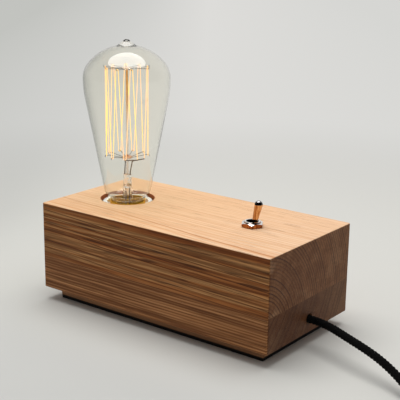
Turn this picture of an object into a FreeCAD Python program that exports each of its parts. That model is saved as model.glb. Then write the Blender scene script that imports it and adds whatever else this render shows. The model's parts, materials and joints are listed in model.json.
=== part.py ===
"""A bare bulb table lamp: a glued-up wooden block with a toggle switch and a clear filament bulb.

Millimetres. +X runs along the block to the end where the cord leaves it, +Y to the back and
+Z up. The origin is on the table, under the middle of the block.
"""
import FreeCAD
import Part

import math
import os

from FreeCAD import Vector

os.makedirs("parts", exist_ok=True)

UP = Vector(0, 0, 1)

# ---- Block and plinth ----------------------------------------------------------------
block_length = 200.0
block_width = 100.0
lower_board_height = 25.0
corner_round = 1.2
edge_round = 0.8
plinth_inset = 9.0
base_plate_thickness = 8.0
felt_thickness = 1.5
cavity_height = 15.0
cavity_end_wall = 20.0
cavity_side_wall = 24.0
cavity_corner = 8.0
web_thickness = 8.0
socket_from_end = 39.0
socket_bore_diameter = 40.0
switch_from_end = 48.0
switch_panel_thickness = 8.0
pocket_length = 34.0
pocket_width = 26.0
pocket_corner = 6.0

# ---- Screws --------------------------------------------------------------------------
wood_screw_diameter = 3.5
wood_screw_head_diameter = 7.6
wood_screw_head_height = 2.4
wood_screw_length = 20.0
wood_screw_hole_gap = 0.3
head_recess = 0.2
pilot_gap = 0.02
small_screw_diameter = 3.0
small_screw_head_diameter = 5.2
small_screw_head_height = 1.8
small_screw_gap = 0.1
base_screw_from_end = 30.0

# ---- Lampholder ----------------------------------------------------------------------
holder_gap = 1.2
holder_height = 36.5
holder_drop = 2.0
holder_rim_wall = 3.6
holder_rim_depth = 3.0
holder_foot_height = 15.0
holder_foot_step = 1.2
contact_depth = 26.5
leaf_rise = 3.0
leaf_thickness = 0.5
leaf_width = 6.0
leaf_mitre = 0.2
leaf_hook_length = 1.0
leaf_hook_width = 0.5
leaf_hook_rise = 0.4
shell_strip_width = 5.0
shell_strip_gap = 0.2
shell_strip_end_gap = 0.5
shell_strip_reach_gap = 0.6
contact_gap = 0.1
shell_ledge_rise = 3.0
shell_inner_diameter = 26.9
shell_wall = 0.35
shell_lip = 0.9
shell_gap = 0.5
shell_below_rim = 4.5
chamber_diameter = 24.8
floor_thickness = 3.5
terminal_offset = 8.5
terminal_length = 6.5
terminal_width = 7.0
terminal_height = 3.2
terminal_gap = 0.5
terminal_screw_end_gap = 0.3
collar_height = 3.5
collar_diameter = 13.0
strap_thickness = 1.2
strap_width = 12.0
strap_end_gap = 1.0
bracket_screw_offset = 12.5
bracket_screw_depth = 5.0
bracket_screw_end_gap = 0.5
nipple_diameter = 10.0
nipple_bore = 7.8
thread_fit = 0.05
nipple_hole_gap = 0.2
nipple_end_gap = 0.2
nipple_nut_width = 14.0
nipple_nut_height = 4.0
nipple_tail = 1.8
nipple_washer_diameter = 19.0
nipple_washer_thickness = 1.2
bush_bore = 6.4
bush_flange_diameter = 12.8
bush_flange_thickness = 1.2
bush_spigot_length = 4.5

# ---- Bulb ----------------------------------------------------------------------------
bulb_diameter = 63.6
glass_wall = 0.8
neck_gap = 0.15
neck_below_cap_rim = 6.0
throat_radius = 3.0
neck_shoulder_radius = 8.0
neck_shoulder_height = 35.0
neck_shoulder_diameter = 34.6
flank_slope = 10.6
belly_radius = 79.0
belly_height = 118.0
dome_shoulder_radius = 18.0
dome_rise = 24.4
pip_rise = 3.9
pip_base_diameter = 12.0
pip_tip_radius = 2.1
cap_diameter = 26.2
cap_wall = 0.35
cap_height = 27.0
cap_skirt_height = 5.5
cap_crimp = 0.3
cap_foot_height = 5.2
cap_foot_diameter = 23.6
tip_diameter = 9.6
tip_height = 1.6
seal_gap = 0.25
flare_height = 9.0
stem_diameter = 7.0
stem_wall = 0.9
press_height = 46.6
press_length = 10.0
press_width = 6.8
press_thickness = 3.6
press_shoulder_height = 3.0
press_edge_offset = 0.1
rod_diameter = 1.8
button_diameter = 7.6
button_thickness = 1.8
lower_button_drop = 1.4
upper_button_drop = 1.0
cage_diameter = 32.0
cage_foot_diameter = 30.6
cage_above_press = 14.4
cage_below_dome = 16.0
strand_pairs = 9
filament_diameter = 0.5
filament_bend = 0.9
hook_wire = 0.4
hook_gap = 0.15
hook_overhang = 1.0
hook_upturn = 1.2
hook_bend = 0.5
hook_level_length = 3.0
button_bite = 0.4
lead_diameter = 0.8
lead_bend = 1.2
lead_gap = 0.1
lead_rise = 3.0
lead_button_gap = 1.0
lead_rod_gap = 1.0
lead_bend_turn = -87.0
lower_lead_run = 12.0
lower_lead_end = 3.0
lower_lead_offset = 0.6
lower_lead_bend = 4.0
cage_turn = 1.5

# ---- Toggle switch -------------------------------------------------------------------
switch_washer_diameter = 20.0
switch_washer_thickness = 1.0
frame_plate_thickness = 1.2
frame_ear_width = 10.0
frame_ear_drop = 12.0
frame_ear_thickness = 0.8
bush_thread_diameter = 11.9
lever_bore = 8.8
bush_rise = 0.8
switch_hole_gap = 0.25
switch_nut_width = 14.0
switch_nut_height = 3.0
switch_nut_chamfer = 0.7
switch_nut_turn = 0.0
switch_body_length = 27.4
switch_body_width = 15.8
switch_body_height = 18.0
switch_wall = 1.8
switch_end_wall = 1.7
switch_floor = 3.2
pivot_below_panel = 5.0
lever_pin_diameter = 1.6
lever_pin_wall_grip = 1.0
lever_ball_diameter = 7.4
lever_neck_diameter = 3.7
lever_tip_diameter = 5.6
lever_reach = 24.5
lever_foot_diameter = 3.4
lever_foot_reach = 9.5
lever_lean = 12.5
plunger_diameter = 2.0
plunger_length = 5.0
plunger_showing = 2.0
plunger_gap = 0.1
spring_diameter = 1.8
spring_wire = 0.35
running_gap = 0.05
rocker_pivot_rise = 6.3
rocker_half_length = 9.0
rocker_thickness = 1.0
rocker_width = 6.0
rocker_boss_diameter = 3.2
rocker_pad_height = 2.0
rocker_pad_start = 2.3
rocker_pad_end = 4.6
rocker_tilt = 8.0
rocker_pin_diameter = 1.2
contact_spacing = 8.3
contact_post_length = 3.0
contact_post_width = 4.0
terminal_strip = 0.8
ear_gap = 0.3
lug_width = 5.0
lug_length = 9.0
slot_gap = 0.1

# ---- Cord, clamp, coil and plug ------------------------------------------------------
cord_diameter = 5.5
cord_hole_diameter = 7.5
cord_height = 19.2
cord_inside = 17.0
cord_joint_depth = 6.0
clamp_length = 10.0
clamp_width = 26.0
clamp_from_wall = 6.5
clamp_split = 0.6
clamp_bar_depth = 5.6
clamp_grip = 0.05
clamp_screw_offset = 8.5
clamp_screw_bite = 8.5
wire_diameter = 2.4
wire_spacing = 2.7
wire_bend = 3.4
wire_height = 12.7
neutral_level_run = 6.0
neutral_dip_before = 2.0
switched_bend_rise = 6.0
switched_run = 12.0

# Points of the free cord: distance beyond the block's end, place across it and height.
cord_route = [
    (-cord_joint_depth, 0.0, cord_height),
    (7.0, 0.0, cord_height),
    (20.5, -4.6, 19.3),
    (34.5, -10.4, 18.6),
    (49.0, -15.4, 17.4),
    (63.0, -19.6, 15.0),
    (76.5, -24.6, 11.2),
    (88.5, -31.2, 7.4),
    (100.0, -38.6, 4.4),
]
last_run = 12.5
coil_beyond_end = 144.0
coil_y = -10.0
coil_mean_diameter = 66.0
coil_gap = 0.55
whole_loops = 7
approach_heading = -20.0
plug_heading = 90.0

plug_length = 36.0
plug_cord_end_width = 15.0
plug_width = 35.0
plug_taper_length = 18.0
plug_round = 3.0
plug_edge_round = 2.0
pin_spacing = 19.0
pin_diameter = 4.0
pin_core_diameter = 3.0
pin_length = 19.0
pin_sleeve_length = 10.0
pin_root = 6.0
pin_root_gap = 0.05
pin_root_end_gap = 0.2
pin_tip_flat = 0.4
plug_screw_offset = 24.0
plug_screw_end = 3.5
plug_hole_end = 3.0
plug_well_gap = 0.8
plug_sleeve_length = 24.0
plug_sleeve_small = 7.2
plug_sleeve_large = 11.0

# ---- Levels worked out from the sizes above ------------------------------------------
plate_low = felt_thickness
block_low = plate_low + base_plate_thickness
ceiling = block_low + cavity_height
bore_floor = ceiling + web_thickness
holder_low = bore_floor + collar_height
rim = holder_low + holder_height
block_top = rim + holder_drop
glue_line = block_low + lower_board_height
plinth_length = block_length - 2 * plinth_inset
plinth_width = block_width - 2 * plinth_inset
cavity_length = block_length - 2 * cavity_end_wall
cavity_width = block_width - 2 * cavity_side_wall
socket_x = -block_length / 2 + socket_from_end
switch_x = block_length / 2 - switch_from_end
contact_level = rim - contact_depth
chamber_floor = contact_level - leaf_rise
ledge = contact_level + shell_ledge_rise
shell_top = rim - shell_below_rim
pocket_ceiling = block_top - switch_panel_thickness
neck_diameter = cap_diameter - 2 * (cap_wall + cap_crimp + neck_gap)
dome_height = belly_height + dome_rise
bulb_length = dome_height + pip_rise
cage_foot = press_height + cage_above_press
cage_head = dome_height - cage_below_dome
lower_button_height = cage_foot - lower_button_drop
upper_button_height = cage_head - upper_button_drop
cord_inner_end = cavity_length / 2 - cord_inside
cord_joint = block_length / 2 - cord_joint_depth
coil_x = block_length / 2 + coil_beyond_end


# ---- Ways of making solids -----------------------------------------------------------
def save(name, *solids):
    """Write one sub-part; identical copies go in the same file as separate solids."""
    shape = solids[0] if len(solids) == 1 else Part.makeCompound(list(solids))
    shape.exportStep("parts/" + name + ".step")


def bar(length, width, low, high, x=0.0, y=0.0):
    """An upright rectangular solid about a point of the plan."""
    corner = Vector(x - length / 2, y - width / 2, low)
    return Part.makeBox(length, width, high - low, corner)


def upright_edges(solid):
    return [e for e in solid.Edges if abs(e.tangentAt(e.FirstParameter).z) > 0.99]


def edges_at(solid, height):
    """The edges that lie wholly at one height."""
    level = [e for e in solid.Edges if abs(e.BoundBox.ZMin - height) < 1e-4]
    return [e for e in level if abs(e.BoundBox.ZMax - height) < 1e-4]


def slab(length, width, low, high, corner, x=0.0, y=0.0):
    """An upright rectangular solid with rounded corners in plan."""
    solid = bar(length, width, low, high, x, y)
    return solid.makeFillet(corner, upright_edges(solid))


def rod(diameter, low, high, x=0.0, y=0.0):
    return Part.makeCylinder(diameter / 2, high - low, Vector(x, y, low))


def cross_rod(diameter, half_length, x, height):
    """A rod along Y, centred on the plane of symmetry."""
    start = Vector(x, -half_length, height)
    return Part.makeCylinder(diameter / 2, 2 * half_length, start, Vector(0, 1, 0))


def end_rod(diameter, start_x, end_x, height, y=0.0):
    """A rod along X."""
    start = Vector(start_x, y, height)
    return Part.makeCylinder(diameter / 2, end_x - start_x, start, Vector(1, 0, 0))


def outline(start, steps, place):
    """A closed wire of straight and arc steps. A step of two points is an arc through the first."""
    edges = []
    here = start
    for step in list(steps) + [start]:
        if isinstance(step[0], tuple):
            there = step[1]
            edge = Part.Arc(place(here), place(step[0]), place(there))
        else:
            there = step
            edge = Part.LineSegment(place(here), place(there))
        edges.append(edge.toShape())
        here = there
    return Part.Wire(edges)


def turned(start, steps, x=0.0, y=0.0):
    """A solid of revolution about an upright axis, from (radius, height) steps."""
    wire = outline(start, steps, lambda p: Vector(p[0], 0, p[1]))
    solid = Part.Face(wire).revolve(Vector(0, 0, 0), UP, 360)
    solid.translate(Vector(x, y, 0))
    return solid


def washer(bore, outside, low, high, x=0.0, y=0.0):
    start = (bore / 2, low)
    return turned(start, [(outside / 2, low), (outside / 2, high), (bore / 2, high)], x, y)


def bent_strip(points, width, x=0.0, y=0.0):
    """A strip whose (x, z) side view is the closed run of points, centred on y."""
    wire = outline(points[0], points[1:], lambda p: Vector(x + p[0], y - width / 2, p[1]))
    return Part.Face(wire).extrude(Vector(0, width, 0))


def nut(width, bore, low, high, x, chamfer, turn=30.0):
    """A hexagon nut with its corners turned off at both faces."""
    corner = width / math.sqrt(3)
    turns = [math.radians(60 * side + turn) for side in range(6)]
    plan = [(corner * math.cos(t), corner * math.sin(t)) for t in turns]
    wire = outline(plan[0], plan[1:], lambda p: Vector(x + p[0], p[1], low))
    prism = Part.Face(wire).extrude(UP * (high - low))
    edge = width / 2
    start = (0.0, low)
    barrel = [(edge, low), (corner, low + chamfer), (corner, high - chamfer), (edge, high)]
    cones = turned(start, barrel + [(0.0, high)], x)
    return prism.common(cones).cut(rod(bore, low - 1, high + 1, x))


def arc_between(start, corner, end, half_turn):
    """The circular arc that leaves start towards corner and arrives at end from it."""
    weight = math.cos(half_turn)
    middle = (start + corner * (2 * weight) + end) * (1 / (2 + 2 * weight))
    return Part.Arc(start, middle, end).toShape()


def rounded_path(points, bend=None):
    """Straight runs joined by tangent arcs, as edges, with the radii and the whole length.

    Without a bend radius each arc is as large as its two runs allow.
    """
    corners = [Vector(*p) for p in points]
    here = corners[0]
    edges = []
    radii = []
    for before, corner, after in zip(corners, corners[1:], corners[2:]):
        back = before - corner
        ahead = after - corner
        half_turn = (math.pi - back.getAngle(ahead)) / 2
        reach = 0.45 * min(back.Length, ahead.Length)
        if bend is not None:
            reach = min(reach, bend * math.tan(half_turn))
        start = corner + back.normalize() * reach
        end = corner + ahead.normalize() * reach
        edges.append(Part.LineSegment(here, start).toShape())
        edges.append(arc_between(start, corner, end, half_turn))
        radii.append(reach / math.tan(half_turn))
        here = end
    edges.append(Part.LineSegment(here, corners[-1]).toShape())
    return edges, radii, sum(edge.Length for edge in edges)


def sweep(edges, diameter):
    """A round tube along joined edges."""
    first = edges[0]
    start = first.valueAt(first.FirstParameter)
    heading = first.tangentAt(first.FirstParameter)
    section = Part.Wire(Part.Circle(start, heading, diameter / 2).toShape())
    return Part.Wire(edges).makePipeShell([section], True, False)


def wire_along(points, diameter, bend):
    """A solid wire along a route with one bend radius."""
    return sweep(rounded_path(points, bend)[0], diameter)


def screw(diameter, head_diameter, head_height, seat, tip, x, y):
    """A pan-head screw whose head lies beyond its seat, away from the tip."""
    step = -head_height if tip > seat else head_height
    head_low, head_high = sorted((seat, seat + step))
    head = rod(head_diameter, head_low, head_high, x, y)
    shank_low, shank_high = sorted((seat, tip))
    return head.fuse(rod(diameter, shank_low, shank_high, x, y)).removeSplitter()


def polar(radius, degrees, height, x=0.0, y=0.0):
    turn = math.radians(degrees)
    return (x + radius * math.cos(turn), y + radius * math.sin(turn), height)


# ---- Wooden block --------------------------------------------------------------------
def base_screw_places():
    along = block_length / 2 - base_screw_from_end
    across = (cavity_width / 2 + plinth_width / 2) / 2
    return [(x, y) for x in (-along, 0.0, along) for y in (-across, across)]


def clamp_x():
    return cavity_length / 2 - clamp_from_wall


def clamp_screw_places():
    return [(clamp_x(), side * clamp_screw_offset) for side in (-1, 1)]


def hollowed_block():
    """The glued block with everything that is routed and drilled into it."""
    solid = slab(block_length, block_width, block_low, block_top, corner_round)
    rims = edges_at(solid, block_top) + edges_at(solid, block_low)
    solid = solid.makeFillet(edge_round, rims)
    cuts = [
        slab(cavity_length, cavity_width, block_low - 1, ceiling, cavity_corner),
        slab(pocket_length, pocket_width, ceiling - 1, pocket_ceiling, pocket_corner, switch_x),
        rod(bush_thread_diameter + 2 * switch_hole_gap, pocket_ceiling - 1, block_top + 1, switch_x),
        rod(socket_bore_diameter, bore_floor, block_top + 1, socket_x),
        rod(nipple_diameter + 2 * nipple_hole_gap, ceiling - 1, bore_floor + 1, socket_x),
        end_rod(cord_hole_diameter, cavity_length / 2 - 1, block_length / 2 + 1, cord_height),
    ]
    pilot = wood_screw_diameter + 2 * pilot_gap
    screw_tip = plate_low + head_recess + wood_screw_length
    for x, y in base_screw_places():
        cuts.append(rod(pilot, block_low - 1, screw_tip + 1, x, y))
    clamp_pilot = small_screw_diameter + 2 * pilot_gap
    for x, y in clamp_screw_places():
        cuts.append(rod(clamp_pilot, ceiling - 1, ceiling + clamp_screw_bite + 1, x, y))
    return solid.cut(cuts)


def make_block():
    whole = hollowed_block()
    lower_space = bar(2 * block_length, 2 * block_width, 0, glue_line)
    save("lower_board", whole.common(lower_space))
    save("upper_board", whole.cut(lower_space))


def make_plinth():
    save("felt_pad", bar(plinth_length, plinth_width, 0, plate_low))
    plate = bar(plinth_length, plinth_width, plate_low, block_low)
    head_low = plate_low + head_recess
    shank = wood_screw_diameter
    hole = shank / 2 + wood_screw_hole_gap
    head = wood_screw_head_diameter / 2 + wood_screw_hole_gap
    screws = []
    for x, y in base_screw_places():
        steps = [(head, plate_low), (head, head_low)]
        steps += [(hole, head_low + wood_screw_head_height), (hole, block_low), (0.0, block_low)]
        plate = plate.cut(turned((0.0, plate_low), steps, x, y))
        tip = head_low + wood_screw_length
        steps = [(wood_screw_head_diameter / 2, head_low)]
        steps += [(shank / 2, head_low + wood_screw_head_height), (shank / 2, tip - shank)]
        steps += [(0.0, tip)]
        screws.append(turned((0.0, head_low), steps, x, y))
    save("base_plate", plate)
    save("base_screws", *screws)


# ---- Lampholder ----------------------------------------------------------------------
def terminal_level():
    """The underside of the porcelain floor, where the terminal blocks sit."""
    return chamber_floor - floor_thickness


def make_lampholder():
    outer = socket_bore_diameter / 2 - holder_gap
    foot = outer - holder_foot_step
    shell_outer = shell_inner_diameter / 2 + shell_wall
    bore = shell_outer + shell_gap
    mouth = outer - holder_rim_wall
    lip = holder_rim_wall / 2
    chamber = chamber_diameter / 2
    steps = [(foot, holder_low), (foot, holder_low + holder_foot_height)]
    steps += [(outer, holder_low + holder_foot_height + holder_foot_step)]
    steps += [(outer, rim - lip / 2), ((outer - lip / 4, rim - lip / 8), (outer - lip / 2, rim))]
    steps += [(mouth + lip / 2, rim), ((mouth + lip / 8, rim - lip / 8), (mouth, rim - lip / 2))]
    steps += [(mouth, rim - holder_rim_depth), (bore, rim - holder_rim_depth - (mouth - bore))]
    steps += [(bore, ledge), (chamber, ledge), (chamber, chamber_floor), (0.0, chamber_floor)]
    body = turned((0.0, holder_low), steps, socket_x)
    level = terminal_level()
    pocket_length_each = terminal_length + 2 * terminal_gap
    pocket_width_each = terminal_width + 2 * terminal_gap
    cuts = [rod(nipple_diameter + 1, holder_low - 1, level, socket_x)]
    screw_hole = small_screw_diameter + 2 * small_screw_gap
    for side in (-1, 1):
        x = socket_x + side * terminal_offset
        cuts.append(bar(pocket_length_each, pocket_width_each, holder_low - 1, level, x))
        cuts.append(rod(screw_hole, level - 1, chamber_floor + 1, x))
        y = side * bracket_screw_offset
        cuts.append(rod(screw_hole, holder_low - 1, holder_low + bracket_screw_depth, socket_x, y))
    save("lampholder_body", body.cut(cuts))

    inner = shell_inner_diameter / 2
    steps = [(shell_outer, ledge), (shell_outer, shell_top), (inner, shell_top)]
    steps += [(inner, ledge + shell_wall), (inner - shell_lip, ledge + shell_wall)]
    save("screw_shell", turned((inner - shell_lip, ledge), steps, socket_x))


def make_contacts():
    low = chamber_floor
    high = low + leaf_thickness
    top = contact_level - contact_gap
    under = top - leaf_thickness
    bend = terminal_offset - small_screw_head_diameter / 2 - leaf_thickness
    tip = tip_diameter / 4
    end = terminal_offset + small_screw_diameter
    hook = (tip + leaf_hook_length, under - leaf_hook_length)
    leaf = [(-end, low), (-bend, low), (-tip, under), (tip, under), hook]
    leaf += [(hook[0] + leaf_hook_width, hook[1] + leaf_hook_rise), (tip + leaf_mitre, top)]
    leaf += [(-tip - leaf_mitre, top), (-bend - leaf_mitre, high), (-end, high)]
    hole = small_screw_diameter + 2 * small_screw_gap
    centre = bent_strip(leaf, leaf_width, socket_x)
    centre = centre.cut(rod(hole, low - 1, high + 1, socket_x - terminal_offset))
    save("centre_contact", centre)

    wall = math.sqrt((chamber_diameter / 2) ** 2 - (leaf_width / 2) ** 2) - shell_strip_gap
    step = ledge + shell_wall
    start = terminal_offset - small_screw_head_diameter / 2 - shell_strip_end_gap
    inner = wall - leaf_thickness
    reach = shell_inner_diameter / 2 - shell_strip_reach_gap
    strip = [(start, low), (wall, low), (wall, step), (reach, step), (reach, step + leaf_thickness)]
    strip += [(inner, step + leaf_thickness), (inner, high), (start, high)]
    shell_strip = bent_strip(strip, shell_strip_width, socket_x)
    shell_strip = shell_strip.cut(rod(hole, low - 1, high + 1, socket_x + terminal_offset))
    save("shell_contact", shell_strip)

    level = terminal_level()
    blocks = []
    screws = []
    for side in (-1, 1):
        x = socket_x + side * terminal_offset
        block = bar(terminal_length, terminal_width, level - terminal_height, level, x)
        threaded = small_screw_diameter + 2 * pilot_gap
        blocks.append(block.cut(rod(threaded, level - terminal_height - 1, level + 1, x)))
        tip_level = level - terminal_height + terminal_screw_end_gap
        size = (small_screw_diameter, small_screw_head_diameter, small_screw_head_height)
        screws.append(screw(*size, high, tip_level, x, 0.0))
    save("terminal_blocks", *blocks)
    save("terminal_screws", *screws)


def make_bracket():
    strap_low = holder_low - strap_thickness
    length = 2 * (socket_bore_diameter / 2 - holder_gap - holder_foot_step - strap_end_gap)
    strap = bar(strap_width, length, strap_low, holder_low, socket_x)
    strap = strap.makeFillet(strap_width / 2 - 0.5, upright_edges(strap))
    collar = rod(collar_diameter, bore_floor, holder_low, socket_x)
    bracket = strap.fuse(collar).removeSplitter()
    bracket = bracket.cut(rod(nipple_diameter + 2 * thread_fit, 0, rim, socket_x))
    hole = small_screw_diameter + 2 * small_screw_gap
    screws = []
    for side in (-1, 1):
        y = side * bracket_screw_offset
        bracket = bracket.cut(rod(hole, bore_floor, rim, socket_x, y))
        tip = holder_low + bracket_screw_depth - bracket_screw_end_gap
        size = (small_screw_diameter, small_screw_head_diameter, small_screw_head_height)
        screws.append(screw(*size, strap_low, tip, socket_x, y))
    save("holder_bracket", bracket)
    save("bracket_screws", *screws)

    washer_low = ceiling - nipple_washer_thickness
    nut_low = washer_low - nipple_nut_height
    tube_low = nut_low - nipple_tail
    fit = nipple_diameter + 2 * thread_fit
    save("nipple", washer(nipple_bore, nipple_diameter, tube_low, holder_low - nipple_end_gap, socket_x))
    save("nipple_washer", washer(nipple_diameter + 2 * nipple_hole_gap, nipple_washer_diameter,
                                 washer_low, ceiling, socket_x))
    save("nipple_nut", nut(nipple_nut_width, fit, nut_low, washer_low, socket_x, 0.6))
    bore = bush_bore / 2
    spigot = nipple_bore / 2 - thread_fit
    flange_low = tube_low - bush_flange_thickness
    steps = [(bush_flange_diameter / 2, flange_low), (bush_flange_diameter / 2, tube_low)]
    steps += [(spigot, tube_low), (spigot, tube_low + bush_spigot_length)]
    steps += [(bore, tube_low + bush_spigot_length)]
    save("nipple_bush", turned((bore, flange_low), steps, socket_x))


# ---- Bulb ----------------------------------------------------------------------------
def on_arc(centre, radius, degrees):
    turn = math.radians(degrees)
    return (centre[0] + radius * math.cos(turn), centre[1] + radius * math.sin(turn))


def glass_outline(inset):
    """The glass's half outline as (radius, height above the contact) steps, set in by a wall.

    From the neck up: a throat that opens outwards, the shoulder over the holder, a straight
    flank, a belly that bends upright at the widest place, the dome's shoulder and its crown.
    """
    lean = math.radians(flank_slope)
    widest = bulb_diameter / 2
    belly = (widest - belly_radius, belly_height)
    flank_top = on_arc(belly, belly_radius - inset, -flank_slope)
    shoulder = (neck_shoulder_diameter / 2 - neck_shoulder_radius * math.cos(lean),
                neck_shoulder_height + neck_shoulder_radius * math.sin(lean))
    flank_foot = on_arc(shoulder, neck_shoulder_radius - inset, -flank_slope)
    neck = neck_diameter / 2
    side = neck + throat_radius - shoulder[0]
    reach = neck_shoulder_radius + throat_radius
    fall = math.sqrt(reach ** 2 - side ** 2)
    throat = (neck + throat_radius, shoulder[1] - fall)
    swing = math.degrees(math.atan2(-fall, side))
    crest = (widest - dome_shoulder_radius, belly_height)
    rise = dome_height - belly_height
    crown = (crest[0] ** 2 + rise ** 2 - dome_shoulder_radius ** 2) / (2 * (rise - dome_shoulder_radius))
    crown_centre = (0.0, dome_height - crown)
    crown_turn = math.degrees(math.atan2(crest[1] - crown_centre[1], crest[0]))
    neck_foot = cap_height - neck_below_cap_rim
    steps = [(neck - inset, throat[1])]
    steps.append((on_arc(throat, throat_radius + inset, (180 + 180 + swing) / 2),
                  on_arc(throat, throat_radius + inset, 180 + swing)))
    steps.append((on_arc(shoulder, neck_shoulder_radius - inset, (swing - flank_slope) / 2),
                  flank_foot))
    steps.append(flank_top)
    steps.append((on_arc(belly, belly_radius - inset, -flank_slope / 2),
                  (widest - inset, belly_height)))
    steps.append((on_arc(crest, dome_shoulder_radius - inset, crown_turn / 2),
                  on_arc(crest, dome_shoulder_radius - inset, crown_turn)))
    return (neck - inset, neck_foot), steps, crown_centre, crown, crown_turn


def make_glass():
    foot, outer_steps, centre, crown, crown_turn = glass_outline(0.0)
    inner_foot, inner_steps, _, _, _ = glass_outline(glass_wall)
    pip_base = pip_base_diameter / 2
    base_turn = math.degrees(math.acos(pip_base / crown))
    tip_centre = (0.0, bulb_length - pip_tip_radius)
    pip_waist = on_arc(tip_centre, pip_tip_radius, 10)
    base_point = on_arc(centre, crown, base_turn)
    sag = ((pip_waist[0] + base_point[0]) / 2 - 0.7, (pip_waist[1] + base_point[1]) / 2 - 0.5)
    steps = list(outer_steps)
    steps.append((on_arc(centre, crown, (crown_turn + base_turn) / 2), base_point))
    steps.append((sag, pip_waist))
    steps.append((on_arc(tip_centre, pip_tip_radius, 50), (0.0, bulb_length)))
    steps.append((0.0, centre[1] + crown - glass_wall))
    inner_crown = crown - glass_wall
    steps.append((on_arc(centre, inner_crown, (crown_turn + 90) / 2),
                  on_arc(centre, inner_crown, crown_turn)))
    back = [inner_foot] + inner_steps
    for step, before in zip(reversed(inner_steps), reversed(back[:-1])):
        there = before[1] if isinstance(before[0], tuple) else before
        if isinstance(step[0], tuple):
            steps.append((step[0], there))
        else:
            steps.append(there)
    glass = turned(foot, steps, socket_x)
    glass.translate(UP * contact_level)
    save("bulb_glass", glass)


def make_cap():
    outer = cap_diameter / 2
    inner = outer - cap_wall
    foot = cap_foot_diameter / 2
    low = contact_level + cap_foot_height
    skirt = contact_level + cap_height - cap_skirt_height
    top = contact_level + cap_height
    crimp = outer - cap_crimp
    bottom = outer - foot
    steps = [(outer, low + bottom), (outer, skirt), (crimp, skirt + cap_crimp)]
    steps += [(crimp, skirt + 3 * cap_crimp), (outer, skirt + 4 * cap_crimp), (outer, top)]
    steps += [(inner, top), (inner, skirt + 4 * cap_crimp), (crimp - cap_wall, skirt + 3 * cap_crimp)]
    steps += [(crimp - cap_wall, skirt + cap_crimp), (inner, skirt - cap_crimp)]
    steps += [(inner, low + bottom + cap_wall / 2), (foot - cap_wall / 2, low + cap_wall)]
    steps += [(foot - 1.0, low + cap_wall), (foot - 1.0, low)]
    save("bulb_cap", turned((foot, low), steps, socket_x))

    tip = tip_diameter / 2
    insulator_low = contact_level + tip_height / 2
    hole = tip - 1.2
    steps = [(tip + 0.6, insulator_low), (foot - 0.6, low), (foot - 1.0 - seal_gap / 5, low)]
    steps += [(foot - 1.0 - seal_gap / 5, low + 1.2), (hole, low + 1.2)]
    save("cap_insulator", turned((hole, insulator_low), steps, socket_x))

    dish = contact_level + tip_height / 4
    stalk = hole - thread_fit
    under = insulator_low - thread_fit
    steps = [(tip / 2, contact_level), (tip, dish), (tip, under), (stalk, under)]
    steps += [(stalk, insulator_low + 1.0), (0.0, insulator_low + 1.0)]
    save("cap_contact", turned((0.0, contact_level), steps, socket_x))


def make_stem():
    """The flared tube that is melted to the neck, and the flat press at its top."""
    low = contact_level + cap_height - neck_below_cap_rim
    flare = neck_diameter / 2 - glass_wall - seal_gap
    tube = stem_diameter / 2
    flare_top = low + flare_height
    press_top = contact_level + press_height
    press_low = press_top - press_length
    bore = tube - stem_wall
    start = (flare, low)
    bend = ((flare + tube) / 2 - 1.6, (low + flare_top) / 2 + 0.4)
    inner_bend = (bend[0] - stem_wall * 0.7, bend[1] - stem_wall * 0.7)
    steps = [(flare, low + stem_wall), (bend, (tube, flare_top)), (tube, press_low)]
    steps += [(bore, press_low), (bore, flare_top - stem_wall), (inner_bend, (flare - stem_wall, low))]
    flare_tube = turned(start, steps, socket_x)
    circle = Part.Wire(Part.Circle(Vector(socket_x, 0, press_low), UP, tube).toShape())
    flat_low = press_low + press_shoulder_height
    edge = press_thickness / 2 - press_edge_offset
    flat = slab(press_width, press_thickness, flat_low, press_top, edge, socket_x)
    flat_wire = [w for w in flat.Wires if abs(w.BoundBox.ZMax - flat_low) < 1e-4][0]
    neck = Part.makeLoft([circle, flat_wire], True)
    stem = flare_tube.fuse([neck, flat]).removeSplitter()
    save("glass_stem", stem)

    rod_low = press_top
    rod_high = contact_level + upper_button_height
    mount = rod(rod_diameter, rod_low, rod_high, socket_x)
    buttons = []
    for height in (lower_button_height, upper_button_height):
        level = contact_level + height
        half = button_thickness / 2
        radius = button_diameter / 2
        steps = [(radius - half, level - half), ((radius, level), (radius - half, level + half))]
        buttons.append(turned((0.0, level - half), steps + [(0.0, level + half)], socket_x))
    save("arbor_rod", mount.fuse(buttons).removeSplitter())


def strand_turn(number):
    """Where around the cage the strand's end with this number is, in degrees."""
    return cage_turn + 360.0 * number / (2 * strand_pairs + 1)


def cage_radius(is_top):
    return (cage_diameter if is_top else cage_foot_diameter) / 2


def corner_reach(is_top, height):
    """How far a corner lies beyond its bend, where the strands rise or fall by this height."""
    step = math.radians(strand_turn(1) - strand_turn(0))
    other = cage_radius(not is_top)
    inward = other * math.cos(step) - cage_radius(is_top)
    half_corner = math.atan2(other * math.sin(step), math.hypot(inward, height))
    return filament_bend * (1 / math.sin(half_corner) - 1)


def strand_end(low_corner, high_corner):
    """The point of a strand at the level of the cage's foot."""
    share = (contact_level + cage_foot - low_corner.z) / (high_corner.z - low_corner.z)
    return low_corner + (high_corner - low_corner) * share


def filament_points():
    """The zigzag's corners. Each lies beyond its hook, so that the bend's arc ends at the hook."""
    above = 0.0
    below = 0.0
    for _ in range(12):
        height = cage_head - cage_foot + above + below
        above = corner_reach(True, height)
        below = corner_reach(False, height)
    corners = []
    for number in range(2 * strand_pairs + 1):
        is_top = number % 2 == 1
        level = cage_head + above if is_top else cage_foot - below
        place = polar(cage_radius(is_top), strand_turn(number), contact_level + level, socket_x)
        corners.append(Vector(*place))
    corners[0] = strand_end(corners[0], corners[1])
    corners[-1] = strand_end(corners[-1], corners[-2])
    return [tuple(corner) for corner in corners]


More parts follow.
